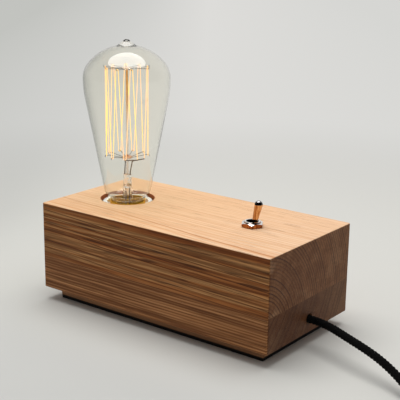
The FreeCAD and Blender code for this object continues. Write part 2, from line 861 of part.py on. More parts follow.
def make_filament():
    save("filament", wire_along(filament_points(), filament_diameter, filament_bend))
    inside = (filament_diameter + hook_wire) / 2 + hook_gap
    middle = button_diameter / 2 - button_bite
    for name, is_top in (("upper_hooks", True), ("lower_hooks", False)):
        button = upper_button_height if is_top else lower_button_height
        crossing = cage_head - inside if is_top else cage_foot + inside
        turn_up = hook_upturn if is_top else -hook_upturn
        hooks = []
        for number in range(1, 2 * strand_pairs):
            if (number % 2 == 1) != is_top:
                continue
            angle = strand_turn(number)
            reach = cage_radius(is_top) + hook_overhang
            root = polar(middle + hook_wire, angle, contact_level + button, socket_x)
            knee = polar(reach - hook_level_length, angle, contact_level + crossing, socket_x)
            end = polar(reach, angle, contact_level + crossing, socket_x)
            tip = polar(reach, angle, contact_level + crossing + turn_up, socket_x)
            hooks.append(wire_along([root, knee, end, tip], hook_wire, hook_bend))
        save(name, *hooks)


def make_leads():
    """The nickel wires from the press to the filament's ends, and below the press to the cap."""
    press_top = contact_level + press_height
    press_low = press_top - press_length
    level = contact_level + cage_foot - lead_gap - lead_diameter / 2
    corners = filament_points()
    wires = []
    past_rod = (rod_diameter + lead_diameter) / 2 + lead_rod_gap
    past_button = button_diameter / 2 + lead_button_gap
    for side, corner, reach, angle in ((1, corners[0], past_button, strand_turn(0)),
                                       (-1, corners[-1], past_rod, lead_bend_turn)):
        near = socket_x + side * (press_width / 2 - lead_diameter)
        above = polar(reach, angle, level - lead_rise, socket_x)
        end = (corner[0], corner[1], level)
        rise = [(near, 0.0, press_top), (near, 0.0, press_top + 2 * lead_diameter)]
        wires.append(wire_along(rise + [above, end], lead_diameter, lead_bend))
    bottom = contact_level + cap_foot_height + lower_lead_end
    bore = stem_diameter / 2 - stem_wall
    for side in (1, -1):
        near = socket_x + side * (bore - lead_diameter)
        out = near + side * lower_lead_offset
        bend_level = press_low - lower_lead_run
        low_points = [(near, 0.0, press_low), (near, 0.0, bend_level), (out, 0.0, bottom)]
        wires.append(wire_along(low_points, lead_diameter, lower_lead_bend))
    save("lead_wires", *wires)


# ---- Toggle switch -------------------------------------------------------------------
plate_high = pocket_ceiling - switch_washer_thickness
body_high = plate_high - frame_plate_thickness
body_low = body_high - switch_body_height
chamber_low = body_low + switch_floor
pivot_level = block_top - pivot_below_panel
rocker_level = chamber_low + rocker_pivot_rise
bush_top = block_top + switch_nut_height + bush_rise


def tilted(solid, degrees, level):
    """Turned about the Y axis through the switch at one level; positive leans towards +X."""
    solid.rotate(Vector(switch_x, 0, level), Vector(0, 1, 0), degrees)
    return solid


def make_switch_case():
    chamber_length = switch_body_length - 2 * switch_end_wall
    chamber_width = switch_body_width - 2 * (switch_wall + 0.6)
    body = bar(switch_body_length, switch_body_width, body_low, body_high, switch_x)
    body = body.makeFillet(1.0, upright_edges(body))
    body = body.cut(bar(chamber_length, chamber_width, chamber_low, body_high + 1, switch_x))
    slot_length = terminal_strip + 2 * slot_gap
    slot_width = lug_width + 2 * slot_gap
    for x in (switch_x, switch_x - contact_spacing):
        body = body.cut(bar(slot_length, slot_width, body_low - 1, chamber_low + 1, x))
    save("switch_body", body)

    plate_width = switch_body_width + 2 * frame_ear_thickness
    plate = bar(switch_body_length, plate_width, body_high, plate_high, switch_x)
    ear_y = switch_body_width / 2 + frame_ear_thickness / 2
    ears = [bar(frame_ear_width, frame_ear_thickness, body_high - frame_ear_drop, body_high,
                switch_x, side * ear_y) for side in (-1, 1)]
    thread = bush_thread_diameter / 2
    steps = [(thread, body_high), (thread, bush_top - 0.6), (thread - 0.6, bush_top)]
    bush = turned((0.0, body_high), steps + [(0.0, bush_top)], switch_x)
    frame = plate.fuse(ears + [bush]).removeSplitter()
    frame = frame.cut(rod(lever_bore, body_high - 1, bush_top + 1, switch_x))
    pin_half = lever_bore / 2 + lever_pin_wall_grip
    frame = frame.cut(cross_rod(lever_pin_diameter + 2 * pilot_gap, pin_half, switch_x, pivot_level))
    save("switch_frame", frame)
    save("switch_washer", washer(bush_thread_diameter + 2 * switch_hole_gap,
                                 switch_washer_diameter, plate_high, pocket_ceiling, switch_x))
    bore = bush_thread_diameter + 2 * thread_fit
    save("switch_nut", nut(switch_nut_width, bore, block_top, block_top + switch_nut_height,
                           switch_x, switch_nut_chamfer, switch_nut_turn))
    save("lever_pin", cross_rod(lever_pin_diameter, pin_half, switch_x, pivot_level))


def make_lever():
    """The bat-shaped lever, turned upright and then leant to where it rests."""
    ball = lever_ball_diameter / 2
    neck = lever_neck_diameter / 2
    tip = lever_tip_diameter / 2
    foot = lever_foot_diameter / 2
    bore = plunger_diameter / 2 + plunger_gap
    bottom = pivot_level - lever_foot_reach
    foot_join = pivot_level - math.sqrt(ball ** 2 - foot ** 2)
    neck_join = pivot_level + math.sqrt(ball ** 2 - neck ** 2)
    end = pivot_level + lever_reach
    blind = bottom + plunger_length - plunger_showing + 2.4
    start = (0.0, blind)
    steps = [(bore, blind), (bore, bottom), (foot, bottom), (foot, foot_join)]
    steps += [((ball, pivot_level), (neck, neck_join)), (neck, bush_top - 0.5)]
    steps += [(tip, end - tip), ((tip * math.sqrt(0.5), end - tip * (1 - math.sqrt(0.5))), (0.0, end))]
    lever = turned(start, steps, switch_x)
    hole = lever_pin_diameter + 2 * running_gap
    lever = lever.cut(cross_rod(hole, ball + 1, switch_x, pivot_level))
    save("toggle_lever", tilted(lever, lever_lean, pivot_level))

    radius = plunger_diameter / 2
    low = bottom - plunger_showing
    high = low + plunger_length
    round_end = ((radius * math.sqrt(0.5), low + radius * (1 - math.sqrt(0.5))), (radius, low + radius))
    steps = [round_end, (radius, high), (0.0, high)]
    save("lever_plunger", tilted(turned((0.0, low), steps, switch_x), lever_lean, pivot_level))
    spring = washer(spring_diameter - 2 * spring_wire, spring_diameter, high + 0.1, blind - 0.1,
                    switch_x)
    save("plunger_spring", tilted(spring, lever_lean, pivot_level))


def make_rocker():
    half = rocker_thickness / 2
    level = rocker_level
    pad = level + rocker_pad_height
    end = rocker_half_length
    side = [(-end, level - half), (end, level - half), (end, level + half)]
    side += [(rocker_pad_end, level + half), (rocker_pad_end - 0.8, pad), (rocker_pad_start, pad)]
    side += [(rocker_pad_start - 0.6, level + half), (0.6 - rocker_pad_start, level + half)]
    side += [(-rocker_pad_start, pad), (0.8 - rocker_pad_end, pad), (-rocker_pad_end, level + half)]
    side += [(-end, level + half)]
    rocker = bent_strip(side, rocker_width, switch_x)
    boss = cross_rod(rocker_boss_diameter, rocker_width / 2, switch_x, level)
    hole = rocker_pin_diameter + 2 * running_gap
    rocker = rocker.fuse(boss).removeSplitter()
    rocker = rocker.cut(cross_rod(hole, rocker_width, switch_x, level))
    save("contact_rocker", tilted(rocker, -rocker_tilt, level))

    ear_inner = rocker_width / 2 + ear_gap
    ear_outer = ear_inner + terminal_strip
    save("rocker_pin", cross_rod(rocker_pin_diameter, ear_outer, switch_x, level))
    ear_top = level + rocker_pin_diameter / 2 + 1.0
    foot_top = chamber_low + terminal_strip
    foot = bar(contact_post_length, 2 * ear_outer, chamber_low, foot_top, switch_x)
    ears = [bar(contact_post_length, terminal_strip, chamber_low, ear_top, switch_x,
                side * (ear_inner + ear_outer) / 2) for side in (-1, 1)]
    lug = bar(terminal_strip, lug_width, body_low - lug_length, chamber_low, switch_x)
    terminal = foot.fuse(ears + [lug]).removeSplitter()
    pin_hole = cross_rod(rocker_pin_diameter + 2 * pilot_gap, ear_outer + 1, switch_x, level)
    save("centre_terminal", terminal.cut(pin_hole))

    lean = math.radians(rocker_tilt)
    reach = contact_spacing + contact_post_length / 2
    touch = level - half / math.cos(lean) - reach * math.tan(lean) - running_gap
    x = switch_x - contact_spacing
    post = bar(contact_post_length, contact_post_width, chamber_low, touch, x)
    lug = bar(terminal_strip, lug_width, body_low - lug_length, chamber_low, x)
    save("side_terminal", post.fuse(lug).removeSplitter())


# ---- Cord inside the block -----------------------------------------------------------
def make_inner_cord():
    save("cord_tail", end_rod(cord_diameter, cord_inner_end, cord_joint, cord_height))
    x = clamp_x()
    hole = end_rod(cord_diameter + 2 * clamp_grip, 0, block_length, cord_height)
    base = slab(clamp_length, clamp_width, cord_height + clamp_split / 2, ceiling, 2.0, x)
    low = cord_height - clamp_bar_depth
    strip = slab(clamp_length, clamp_width, low, cord_height - clamp_split / 2, 2.0, x)
    screws = []
    drill = small_screw_diameter + 4 * small_screw_gap
    for screw_x, y in clamp_screw_places():
        way = rod(drill, 0, ceiling + 1, screw_x, y)
        base = base.cut(way)
        strip = strip.cut(way)
        size = (small_screw_diameter, small_screw_head_diameter, small_screw_head_height)
        screws.append(screw(*size, low, ceiling + clamp_screw_bite, screw_x, y))
    save("clamp_base", base.cut(hole))
    save("clamp_bar", strip.cut(hole))
    save("clamp_screws", *screws)

    apart = wire_spacing / 2
    lug_low = body_low - lug_length
    holder_wire = (holder_low + terminal_level()) / 2
    run = terminal_offset - terminal_length / 2
    live = [(cord_inner_end, apart, cord_height), (switch_x, apart, cord_height)]
    live += [(switch_x, 0.0, (cord_height + lug_low) / 2), (switch_x, 0.0, lug_low)]
    save("live_wire", wire_along(live, wire_diameter, wire_bend))
    neutral = [(cord_inner_end, -apart, cord_height)]
    neutral += [(cord_inner_end - neutral_level_run, -apart, cord_height)]
    neutral += [(switch_x - neutral_dip_before, -apart, wire_height + 1)]
    neutral += [(switch_x / 2, -apart - 0.3, wire_height), (socket_x, -apart, wire_height)]
    neutral += [(socket_x, -apart, holder_wire), (socket_x + run, -apart, holder_wire)]
    save("neutral_wire", wire_along(neutral, wire_diameter, wire_bend))
    side_x = switch_x - contact_spacing
    switched = [(side_x, 0.0, lug_low), (side_x, 0.0, (cord_height + lug_low) / 2 - switched_bend_rise)]
    switched += [(side_x - switched_run, apart, wire_height), (socket_x, apart, wire_height)]
    switched += [(socket_x, apart, holder_wire), (socket_x - run, apart, holder_wire)]
    save("switched_wire", wire_along(switched, wire_diameter, wire_bend))


# ---- Free cord, coil and plug --------------------------------------------------------
layer_step = cord_diameter + coil_gap
whole_turn = math.pi * (whole_loops + (plug_heading - approach_heading) / 360)


def coil_place(angle):
    """A point of the coil's middle line, angle radians along it. It winds in, climbs and winds out.

    The radius shrinks and grows at a steady rate. In the half turn about the reversal it
    follows a parabola, and the line climbs to the second layer.
    """
    rate = layer_step / (2 * math.pi)
    from_middle = angle - whole_turn
    quarter = math.pi / 2
    least = coil_mean_diameter / 2 - rate * whole_turn / 2
    if abs(from_middle) < quarter:
        radius = least + rate * (from_middle ** 2 / math.pi + math.pi / 4)
        share = (from_middle + quarter) / math.pi
        climb = share * share * (3 - 2 * share)
    else:
        radius = least + rate * abs(from_middle)
        climb = 1.0 if from_middle > 0 else 0.0
    start = math.radians(approach_heading) - quarter
    turn = start + angle
    height = cord_diameter / 2 + climb * layer_step
    return Vector(coil_x + radius * math.cos(turn), coil_y + radius * math.sin(turn), height)


def coil_heading(angle):
    """Where the coil's line points; at its ends it turns exactly to the cord and to the plug."""
    if angle == 0.0:
        return Vector(*polar(1.0, approach_heading, 0.0))
    if angle == 2 * whole_turn:
        return Vector(*polar(1.0, plug_heading, 0.0))
    small = 1e-4
    return (coil_place(angle + small) - coil_place(angle - small)).normalize()


def biarc(start, start_heading, end, end_heading):
    """Two tangent arcs between two points with given headings."""
    across = end - start
    total = start_heading + end_heading
    slack = 1 - start_heading.dot(end_heading)
    along = across.dot(total)
    if slack < 1e-9:
        reach = across.dot(across) / (2 * along)
    else:
        root = math.sqrt(along ** 2 + 2 * slack * across.dot(across))
        reach = (root - along) / (2 * slack)
    first = start + start_heading * reach
    second = end - end_heading * reach
    middle = (first + second) * 0.5
    turn = (second - first).normalize()
    halves = [start_heading.getAngle(turn) / 2, turn.getAngle(end_heading) / 2]
    return [arc_between(start, first, middle, halves[0]), arc_between(middle, second, end, halves[1])]


def least_self_gap(edges):
    """The smallest distance between stretches of the tube that aren't neighbours along it."""
    spacing = 2.0
    points = []
    for edge in edges:
        count = int(edge.Length / spacing) + 2
        points += edge.discretize(Number=count)[:-1]
    nearest_turn = int(coil_mean_diameter / spacing)
    least = coil_mean_diameter
    for number, point in enumerate(points):
        for other in points[number + nearest_turn:]:
            least = min(least, point.distanceToPoint(other))
    return least - cord_diameter


def make_free_cord():
    quarter = math.pi / 2
    most = int(whole_turn / quarter - 0.1)
    steady = [whole_turn + number * quarter for number in range(-most, most + 1)]
    angles = [0.0] + steady + [2 * whole_turn]
    start = coil_place(0.0)
    heading = coil_heading(0.0)
    entry = start - heading * cord_diameter
    edges = [Part.LineSegment(entry, start).toShape()]
    places = [coil_place(angle) for angle in angles]
    headings = [coil_heading(angle) for angle in angles]
    for number in range(len(angles) - 1):
        edges += biarc(places[number], headings[number], places[number + 1], headings[number + 1])
    leave = places[-1] + headings[-1] * cord_diameter
    edges.append(Part.LineSegment(places[-1], leave).toShape())
    coil = sweep(edges, cord_diameter)
    save("cord_coil", coil)
    coil_length = sum(edge.Length for edge in edges)
    print("coil gap %.2f mm, length %.0f mm" % (least_self_gap(edges), coil_length))

    route = [(block_length / 2 + beyond, across, height) for beyond, across, height in cord_route]
    route += [tuple(entry - heading * last_run), tuple(entry)]
    path, radii, length = rounded_path(route)
    tube = sweep(path, cord_diameter)
    save("cord_free", tube)
    section = math.pi * cord_diameter ** 2 / 4
    runs = [Vector(*a).distanceToPoint(Vector(*b)) for a, b in zip(route, route[1:])]
    print("runs", ["%.1f" % run for run in runs])
    print("cord radii", ["%.0f" % radius for radius in radii])
    print("free length %.1f mm, volume ratio %.5f" % (length, tube.Volume / section / length))
    print("coil volume ratio %.5f" % (coil.Volume / section / coil_length))
    return leave, headings[-1]


def make_plug(place, heading):
    """A flat two-pin plug that lies beside the coil, with its halves split at the cord's level."""
    axis = place.z
    height = 2 * axis
    face = plug_sleeve_length + plug_length
    taper = plug_sleeve_length + plug_taper_length
    narrow = plug_cord_end_width / 2
    wide = plug_width / 2
    plan = [(plug_sleeve_length, -narrow), (taper, -wide), (face, -wide), (face, wide)]
    plan += [(taper, wide), (plug_sleeve_length, narrow)]
    wire = outline(plan[0], plan[1:], lambda p: Vector(p[0], p[1], 0))
    body = Part.Face(wire).extrude(UP * height)
    body = body.makeFillet(plug_round, [e for e in upright_edges(body)])
    body = body.makeFillet(plug_edge_round, edges_at(body, 0.0) + edges_at(body, height))
    roots = []
    pins = []
    sleeves = []
    for side in (-1, 1):
        y = side * pin_spacing / 2
        root = pin_core_diameter + 2 * pin_root_gap
        roots.append(end_rod(root, face - pin_root, face + 1, axis, y))
        core_low = face - pin_root + pin_root_end_gap
        core = end_rod(pin_core_diameter, core_low, face + pin_sleeve_length, axis, y)
        blade = end_rod(pin_diameter, face + pin_sleeve_length, face + pin_length, axis, y)
        blade = blade.makeFillet(pin_diameter / 2 - pin_tip_flat, [blade.Edges[0]])
        pins.append(core.fuse(blade).removeSplitter())
        sleeve = end_rod(pin_diameter, face, face + pin_sleeve_length, axis, y)
        sleeves.append(sleeve.cut(end_rod(root, face - 1, face + pin_length, axis, y)))
    screw_place = plug_sleeve_length + plug_screw_offset
    seat = height - small_screw_head_height - plug_well_gap
    hole = rod(small_screw_diameter + 2 * pilot_gap, plug_hole_end, height, screw_place)
    well = rod(small_screw_head_diameter + plug_well_gap, seat, height + 1, screw_place)
    body = body.cut(roots + [hole, well])
    lower_space = bar(4 * plug_length, 4 * plug_width, -1, axis)
    fastener = screw(small_screw_diameter, small_screw_head_diameter, small_screw_head_height,
                     seat, plug_screw_end, screw_place, 0.0)
    small = plug_sleeve_small / 2
    large = plug_sleeve_large / 2
    sleeve_outline = [(large, plug_sleeve_length), (0.0, plug_sleeve_length)]
    relief = turned((0.0, 0.0), [(small, 0.0)] + sleeve_outline)
    relief.rotate(Vector(0, 0, 0), Vector(0, 1, 0), 90)
    relief.translate(UP * axis)
    turn = math.degrees(math.atan2(heading.y, heading.x))
    pieces = {
        "plug_base": [body.common(lower_space)],
        "plug_cover": [body.cut(lower_space)],
        "plug_pins": pins,
        "plug_pin_sleeves": sleeves,
        "plug_screw": [fastener],
        "plug_sleeve": [relief],
    }
    for name, solids in pieces.items():
        for solid in solids:
            solid.rotate(Vector(0, 0, 0), UP, turn)
            solid.translate(Vector(place.x, place.y, 0))
        save(name, *solids)


make_block()
make_plinth()
make_lampholder()
make_contacts()
make_bracket()
make_glass()
make_cap()
make_stem()
make_filament()
make_leads()
make_switch_case()
make_lever()
make_rocker()
make_inner_cord()
make_plug(*make_free_cord())
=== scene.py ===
"""The looks of the bare bulb table lamp: oiled ash on a dark plinth, a glowing squirrel-cage bulb
in a sunk porcelain holder, a bright toggle switch and a braided black cord.

Metres. +X runs along the block to the cord, +Y to the back, +Z up, and the table is at z = 0.
"""

import json
import math
from types import SimpleNamespace

import bmesh
import bpy
from mathutils import Euler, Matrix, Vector


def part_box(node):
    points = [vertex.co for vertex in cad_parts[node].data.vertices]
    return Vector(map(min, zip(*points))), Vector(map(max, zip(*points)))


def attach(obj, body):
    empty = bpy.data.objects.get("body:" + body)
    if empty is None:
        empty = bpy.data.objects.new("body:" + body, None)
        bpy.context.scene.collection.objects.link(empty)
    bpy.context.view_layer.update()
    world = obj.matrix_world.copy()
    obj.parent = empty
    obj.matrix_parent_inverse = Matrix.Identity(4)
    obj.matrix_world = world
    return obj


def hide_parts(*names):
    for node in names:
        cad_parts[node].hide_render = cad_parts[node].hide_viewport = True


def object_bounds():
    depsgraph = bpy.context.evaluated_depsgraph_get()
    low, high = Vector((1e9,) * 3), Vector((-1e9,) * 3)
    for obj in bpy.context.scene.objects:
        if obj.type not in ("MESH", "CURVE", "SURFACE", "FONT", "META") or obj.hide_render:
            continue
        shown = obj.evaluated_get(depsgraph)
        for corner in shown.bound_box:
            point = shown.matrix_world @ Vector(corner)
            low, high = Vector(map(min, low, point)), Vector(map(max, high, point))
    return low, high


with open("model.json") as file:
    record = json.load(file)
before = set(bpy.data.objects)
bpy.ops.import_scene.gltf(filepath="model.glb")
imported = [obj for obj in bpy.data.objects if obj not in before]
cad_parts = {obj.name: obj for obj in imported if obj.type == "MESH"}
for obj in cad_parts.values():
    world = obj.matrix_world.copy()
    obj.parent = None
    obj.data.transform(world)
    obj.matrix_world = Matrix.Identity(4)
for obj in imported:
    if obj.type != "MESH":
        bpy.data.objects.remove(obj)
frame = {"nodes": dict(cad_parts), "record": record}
cad_low, cad_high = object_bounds()

MM = 0.001

# ---- Places taken from the solids ----------------------------------------------------
block_low, block_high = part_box("upper_board")
_, board_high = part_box("lower_board")
glass_low, glass_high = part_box("bulb_glass")
cap_low, cap_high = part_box("bulb_cap")
shell_low, shell_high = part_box("screw_shell")
felt_low, felt_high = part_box("felt_pad")
contact_low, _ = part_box("cap_contact")
_, rod_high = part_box("arbor_rod")
_, lever_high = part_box("toggle_lever")

block_end = block_high.x
front_face = block_low.y
glue_line = board_high.z
socket_x = (glass_low.x + glass_high.x) / 2
bulb_foot = contact_low.z

# ---- Sizes of the bulb and its holder ------------------------------------------------
glass_wall = 0.8 * MM
neck_radius = 12.3 * MM
bore_radius = 20.0 * MM
throat_radius = 3.0 * MM
shoulder_radius = 8.0 * MM
shoulder_height = 35.0 * MM
shoulder_half_width = 17.3 * MM
flank_slope = 10.6
belly_radius = 79.0 * MM
belly_height = 118.0 * MM
dome_shoulder_radius = 18.0 * MM
dome_rise = 24.4 * MM
pip_base_radius = 7.4 * MM
pip_tip_radius = 3.2 * MM
pip_slope = 30
pip_steps = 8
arc_steps = 12
turn_steps = 128

cage_foot_height = 61.0 * MM
cage_head_height = 126.4 * MM
lower_button_height = 60.6 * MM
# The heights between which the rod gets a painted amber glow from the lit strands.
painted_glow_from_height = 78.0 * MM
painted_glow_to_height = 112.0 * MM

thread_pitch = 3.629 * MM
thread_depth = 0.95 * MM
thread_fade = 1.8 * MM
thread_rows = 64
thread_turn_steps = 96
cap_wall = 0.35 * MM
cap_foot_radius = 11.8 * MM
cap_foot_lip = 1.0 * MM
cap_skirt = 5.5 * MM
cap_crimp = 0.3 * MM
cap_rim_drop = 0.2 * MM
cap_rim_inset = 0.1 * MM
cap_thread_gap = 0.6 * MM
shell_lip = 0.9 * MM
shell_thread_gap = 1.0 * MM

# ---- Sizes of the soft pieces and the switch's bright tip ----------------------------
felt_edge_round = 0.35 * MM
lever_tip_length = 2.9 * MM

cord_diameter = 5.5 * MM
cord_radius = cord_diameter / 2
braid_relief = 0.25 * MM
braid_strands = 6
braid_pitch = 2.8 * MM
threads_per_strand = 5.0
rings_per_point = 8
ring_resolution = 10
ring_spacing = 0.43 * MM

tie_width = 14.0 * MM
tie_thickness = 0.9 * MM
tie_corner = 4.5 * MM
tie_slack = 1.5 * MM
tie_edge_round = 0.25 * MM
tie_heading = 20.0

# ---- The camera, solved from the block's corners -------------------------------------
view_azimuth = 37.333
view_elevation = 15.671
view_roll = 0.71
view_place = (0.4237, -0.5465, 0.2777)
view_lens = 91.15
sensor_width = 36.0


# ---- Finishes ------------------------------------------------------------------------
def tint(red, green, blue):
    """A colour given as it shows on a screen, 0 to 255, as the light it reflects."""
    shares = [value / 255 for value in (red, green, blue)]
    light = [s / 12.92 if s <= 0.04045 else ((s + 0.055) / 1.055) ** 2.4 for s in shares]
    return (*light, 1.0)


class Reading:
    """A node's output. Arithmetic on it adds Math nodes."""

    def __init__(self, kit, socket):
        self.kit = kit
        self.socket = socket

    def maths(self, operation, first, second):
        return self.kit.node("Math", {0: first, 1: second}, operation=operation)

    def other(self, output):
        """Another output of the same node."""
        return Reading(self.kit, self.socket.node.outputs[output])

    def __add__(self, value):
        return self.maths("ADD", self, value)

    def __radd__(self, value):
        return self.maths("ADD", value, self)

    def __sub__(self, value):
        return self.maths("SUBTRACT", self, value)

    def __rsub__(self, value):
        return self.maths("SUBTRACT", value, self)

    def __mul__(self, value):
        return self.maths("MULTIPLY", self, value)

    def __rmul__(self, value):
        return self.maths("MULTIPLY", value, self)

    def __truediv__(self, value):
        return self.maths("DIVIDE", self, value)

    def __pow__(self, value):
        return self.maths("POWER", self, value)

    def floor(self):
        return self.maths("FLOOR", self, 0.0)

    def share(self):
        """The part after the decimal point."""
        return self.maths("FRACT", self, 0.0)

    def size(self):
        return self.maths("ABSOLUTE", self, 0.0)

    def wave(self):
        """The sine of a count of whole turns."""
        return self.maths("SINE", self * (2 * math.pi), 0.0)

    def rise(self, low, high):
        """0 below low and 1 above high, with a smooth step between."""
        return self.kit.node("MapRange", {0: self, 1: low, 2: high}, interpolation_type="SMOOTHSTEP")


class Nodes:
    """A node tree and the ways of adding to it."""

    def __init__(self, tree):
        self.tree = tree
        tree.nodes.clear()

    def join(self, value, socket):
        if isinstance(value, Reading):
            self.tree.links.new(value.socket, socket)
        else:
            socket.default_value = value

    def node(self, kind, sockets, output=0, stops=(), **settings):
        """Any node: its settings first, then the values or links of its sockets."""
        made = self.tree.nodes.new("ShaderNode" + kind)
        for name, value in settings.items():
            setattr(made, name, value)
        if stops:
            ramp = made.color_ramp
            while len(ramp.elements) < len(stops):
                ramp.elements.new(0.5)
            for element, (place, colour) in zip(ramp.elements, stops):
                element.position = place
                element.color = colour
        for name, value in sockets.items():
            self.join(value, made.inputs[name])
        return Reading(self, made.outputs[output])

    def place(self):
        return self.node("TexCoord", {}, output="Object")

    def axes(self, vector):
        along = self.node("SeparateXYZ", {0: vector})
        return along, along.other("Y"), along.other("Z")

    def noise(self, vector, scale, detail=2.0, roughness=0.5):
        sockets = {"Vector": vector, "Scale": scale, "Detail": detail, "Roughness": roughness}
        return self.node("TexNoise", sockets)

    def drawn_noise(self, vector, rates, detail, roughness=0.5, shift=(0.0, 0.0, 0.0)):
        """Noise that is stretched: how often it changes in a metre along X, Y and Z, and its place."""
        stretched = self.node("Mapping", {"Vector": vector, "Scale": rates, "Location": shift})
        return self.noise(stretched, 1.0, detail, roughness)

    def chance(self, number):
        """A steady random value for each whole number."""
        return self.node("TexWhiteNoise", {"W": number}, noise_dimensions="1D")

    def blend(self, share, first, second, way="MIX"):
        """One colour into another."""
        sockets = {0: share, 6: first, 7: second}
        return self.node("Mix", sockets, output=2, data_type="RGBA", blend_type=way)

    def coated(self, colour, *coats):
        """A colour with others laid over it in turn, each by its share."""
        for share, coat in coats:
            colour = self.blend(share, colour, coat)
        return colour

    def ramp(self, value, *stops):
        return self.node("ValToRGB", {0: value}, stops=stops)


class Finish(Nodes):
    """A material and the nodes that feed its shader."""

    def __init__(self, name, constants):
        self.material = bpy.data.materials.new(name)
        self.material.use_nodes = True
        super().__init__(self.material.node_tree)
        self.shader = self.tree.nodes.new("ShaderNodeBsdfPrincipled")
        self.output = self.tree.nodes.new("ShaderNodeOutputMaterial")
        self.tree.links.new(self.shader.outputs[0], self.output.inputs["Surface"])
        for label, value in constants.items():
            self.shader.inputs[label].default_value = value

    def feed(self, label, value):
        self.join(value, self.shader.inputs[label])

    def relief(self, height, depth):
        """Raised and sunk detail, of this depth in metres."""
        self.feed("Normal", self.node("Bump", {"Height": height, "Distance": depth, "Strength": 1.0}))


class Surroundings(Nodes):
    """What lies around the table, by direction."""

    def show(self, colour):
        output = self.tree.nodes.new("ShaderNodeOutputWorld")
        self.join(self.node("Background", {"Color": colour}), output.inputs["Surface"])


# ---- The ash block -------------------------------------------------------------------
# How each board was sawn: the place of its pith across and up, how wide its rings are, how its
# pith climbs and its rings bow, and how strongly streaks, rings and dashes show on its sides.
# The tones are the colours of the sides, and hold painted shade as well as the wood's colour.
upper_ash = SimpleNamespace(
    pith_y=-64.0 * MM, pith_z=22.0 * MM, ring_width=2.3 * MM, climb=0.045, bow=8.0 * MM,
    shift=(0.3, 0.7, 0.1), tones=(tint(138, 74, 28), tint(172, 108, 56), tint(200, 148, 94)),
    streaks=0.5, late=0.4, lines=0.85, dashes=0.6, unlike_rings=0.6, end_shade=0.0)
lower_ash = SimpleNamespace(
    pith_y=-112.0 * MM, pith_z=88.0 * MM, ring_width=1.4 * MM, climb=0.0, bow=2.0 * MM,
    shift=(2.1, 1.3, 4.4), tones=(tint(173, 120, 75), tint(183, 129, 83), tint(193, 139, 91)),
    streaks=0.1, late=0.8, lines=0.12, dashes=0.1, unlike_rings=0.15, end_shade=0.4)
fine_bow_share = 0.14


def read_grain(finish, board):
    """A board's rings, streaks, fibres and pores, which all its faces share."""
    place = finish.place()
    along, across, up = finish.axes(place)

    def fibrous(along_rate, across_rate, detail, roughness=0.5):
        rates = (along_rate, across_rate, across_rate)
        return finish.drawn_noise(place, rates, detail, roughness, board.shift)

    slow = fibrous(4.0, 9.0, 2.0)
    quick = fibrous(14.0, 60.0, 3.0)
    sway = (slow - 0.5) * board.bow + (quick - 0.5) * (board.bow * fine_bow_share)
    from_pith = (across - board.pith_y) ** 2 + (up + along * board.climb - board.pith_z) ** 2
    ring = (from_pith ** 0.5 + sway) / board.ring_width
    through = ring.share()
    weight = finish.chance(ring.floor())
    evenness = 1 - board.unlike_rings * (1 - weight)
    late = through.rise(0.3, 0.8) * (1 - through.rise(0.86, 1.0)) * evenness
    line = through.rise(0.6, 0.8) * (1 - through.rise(0.84, 0.98)) * weight.rise(0.35, 0.8)
    pore = fibrous(45.0, 1500.0, 1.0).rise(0.6, 0.68) * (1 - through.rise(0.1, 0.6))
    return SimpleNamespace(
        along=along, across=across, up=up, quick=quick, weight=weight, late=late, line=line, pore=pore,
        streak=fibrous(2.2, 170.0, 2.0, 0.6), thin_streak=fibrous(5.0, 430.0, 1.0, 0.6),
        fibre=fibrous(9.0, 620.0, 3.0, 0.75), dash=fibrous(26.0, 520.0, 1.0).rise(0.6, 0.7))


def ash_top(finish, grain):
    """The pale top, whose rings show most towards the front. Part of how much paler it is than the sides is
    painted light from above.
    """
    near = 1 - grain.across.rise(front_face, front_face + 38.0 * MM)
    pale = finish.blend(grain.along.rise(0.0, block_end), tint(239, 200, 160), tint(243, 208, 174))
    return finish.coated(
        pale,
        (grain.streak.rise(0.36, 0.64) * 0.5, tint(236, 192, 150)),
        (grain.late * (0.4 + 0.5 * near), tint(224, 164, 114)),
        (grain.line * (0.4 + 0.6 * near), tint(190, 122, 74)),
        (grain.fibre.rise(0.4, 0.66) * (0.35 + 0.3 * near), tint(214, 156, 108)))


def ash_side(finish, grain, board):
    """The long sides: streaks along the fibres, paler above the glue line and at the left end. Their tones
    hold painted shade as well as the wood's colour.
    """
    above_glue = grain.up - glue_line
    pale_band = above_glue.rise(0.0, 1.0 * MM) * (1 - above_glue.rise(14.0 * MM, 27.0 * MM))
    pale_end = (1 - grain.along.rise(block_low.x, 20.0 * MM)) * above_glue.rise(0.0, 4.0 * MM)
    tone = grain.streak * board.streaks + grain.thin_streak * (1 - board.streaks)
    tone = tone + pale_band * 0.05 - 0.008 + pale_end * 0.022
    dark, medium, pale = board.tones
    return finish.coated(
        finish.ramp(tone, (0.38, dark), (0.5, medium), (0.62, pale)),
        (grain.late * board.late, tint(114, 58, 20)),
        (grain.line * board.lines, tint(60, 26, 8)),
        (grain.fibre.rise(0.4, 0.6) * 0.7, tint(92, 48, 16)),
        (grain.dash * board.dashes, tint(56, 26, 8)))


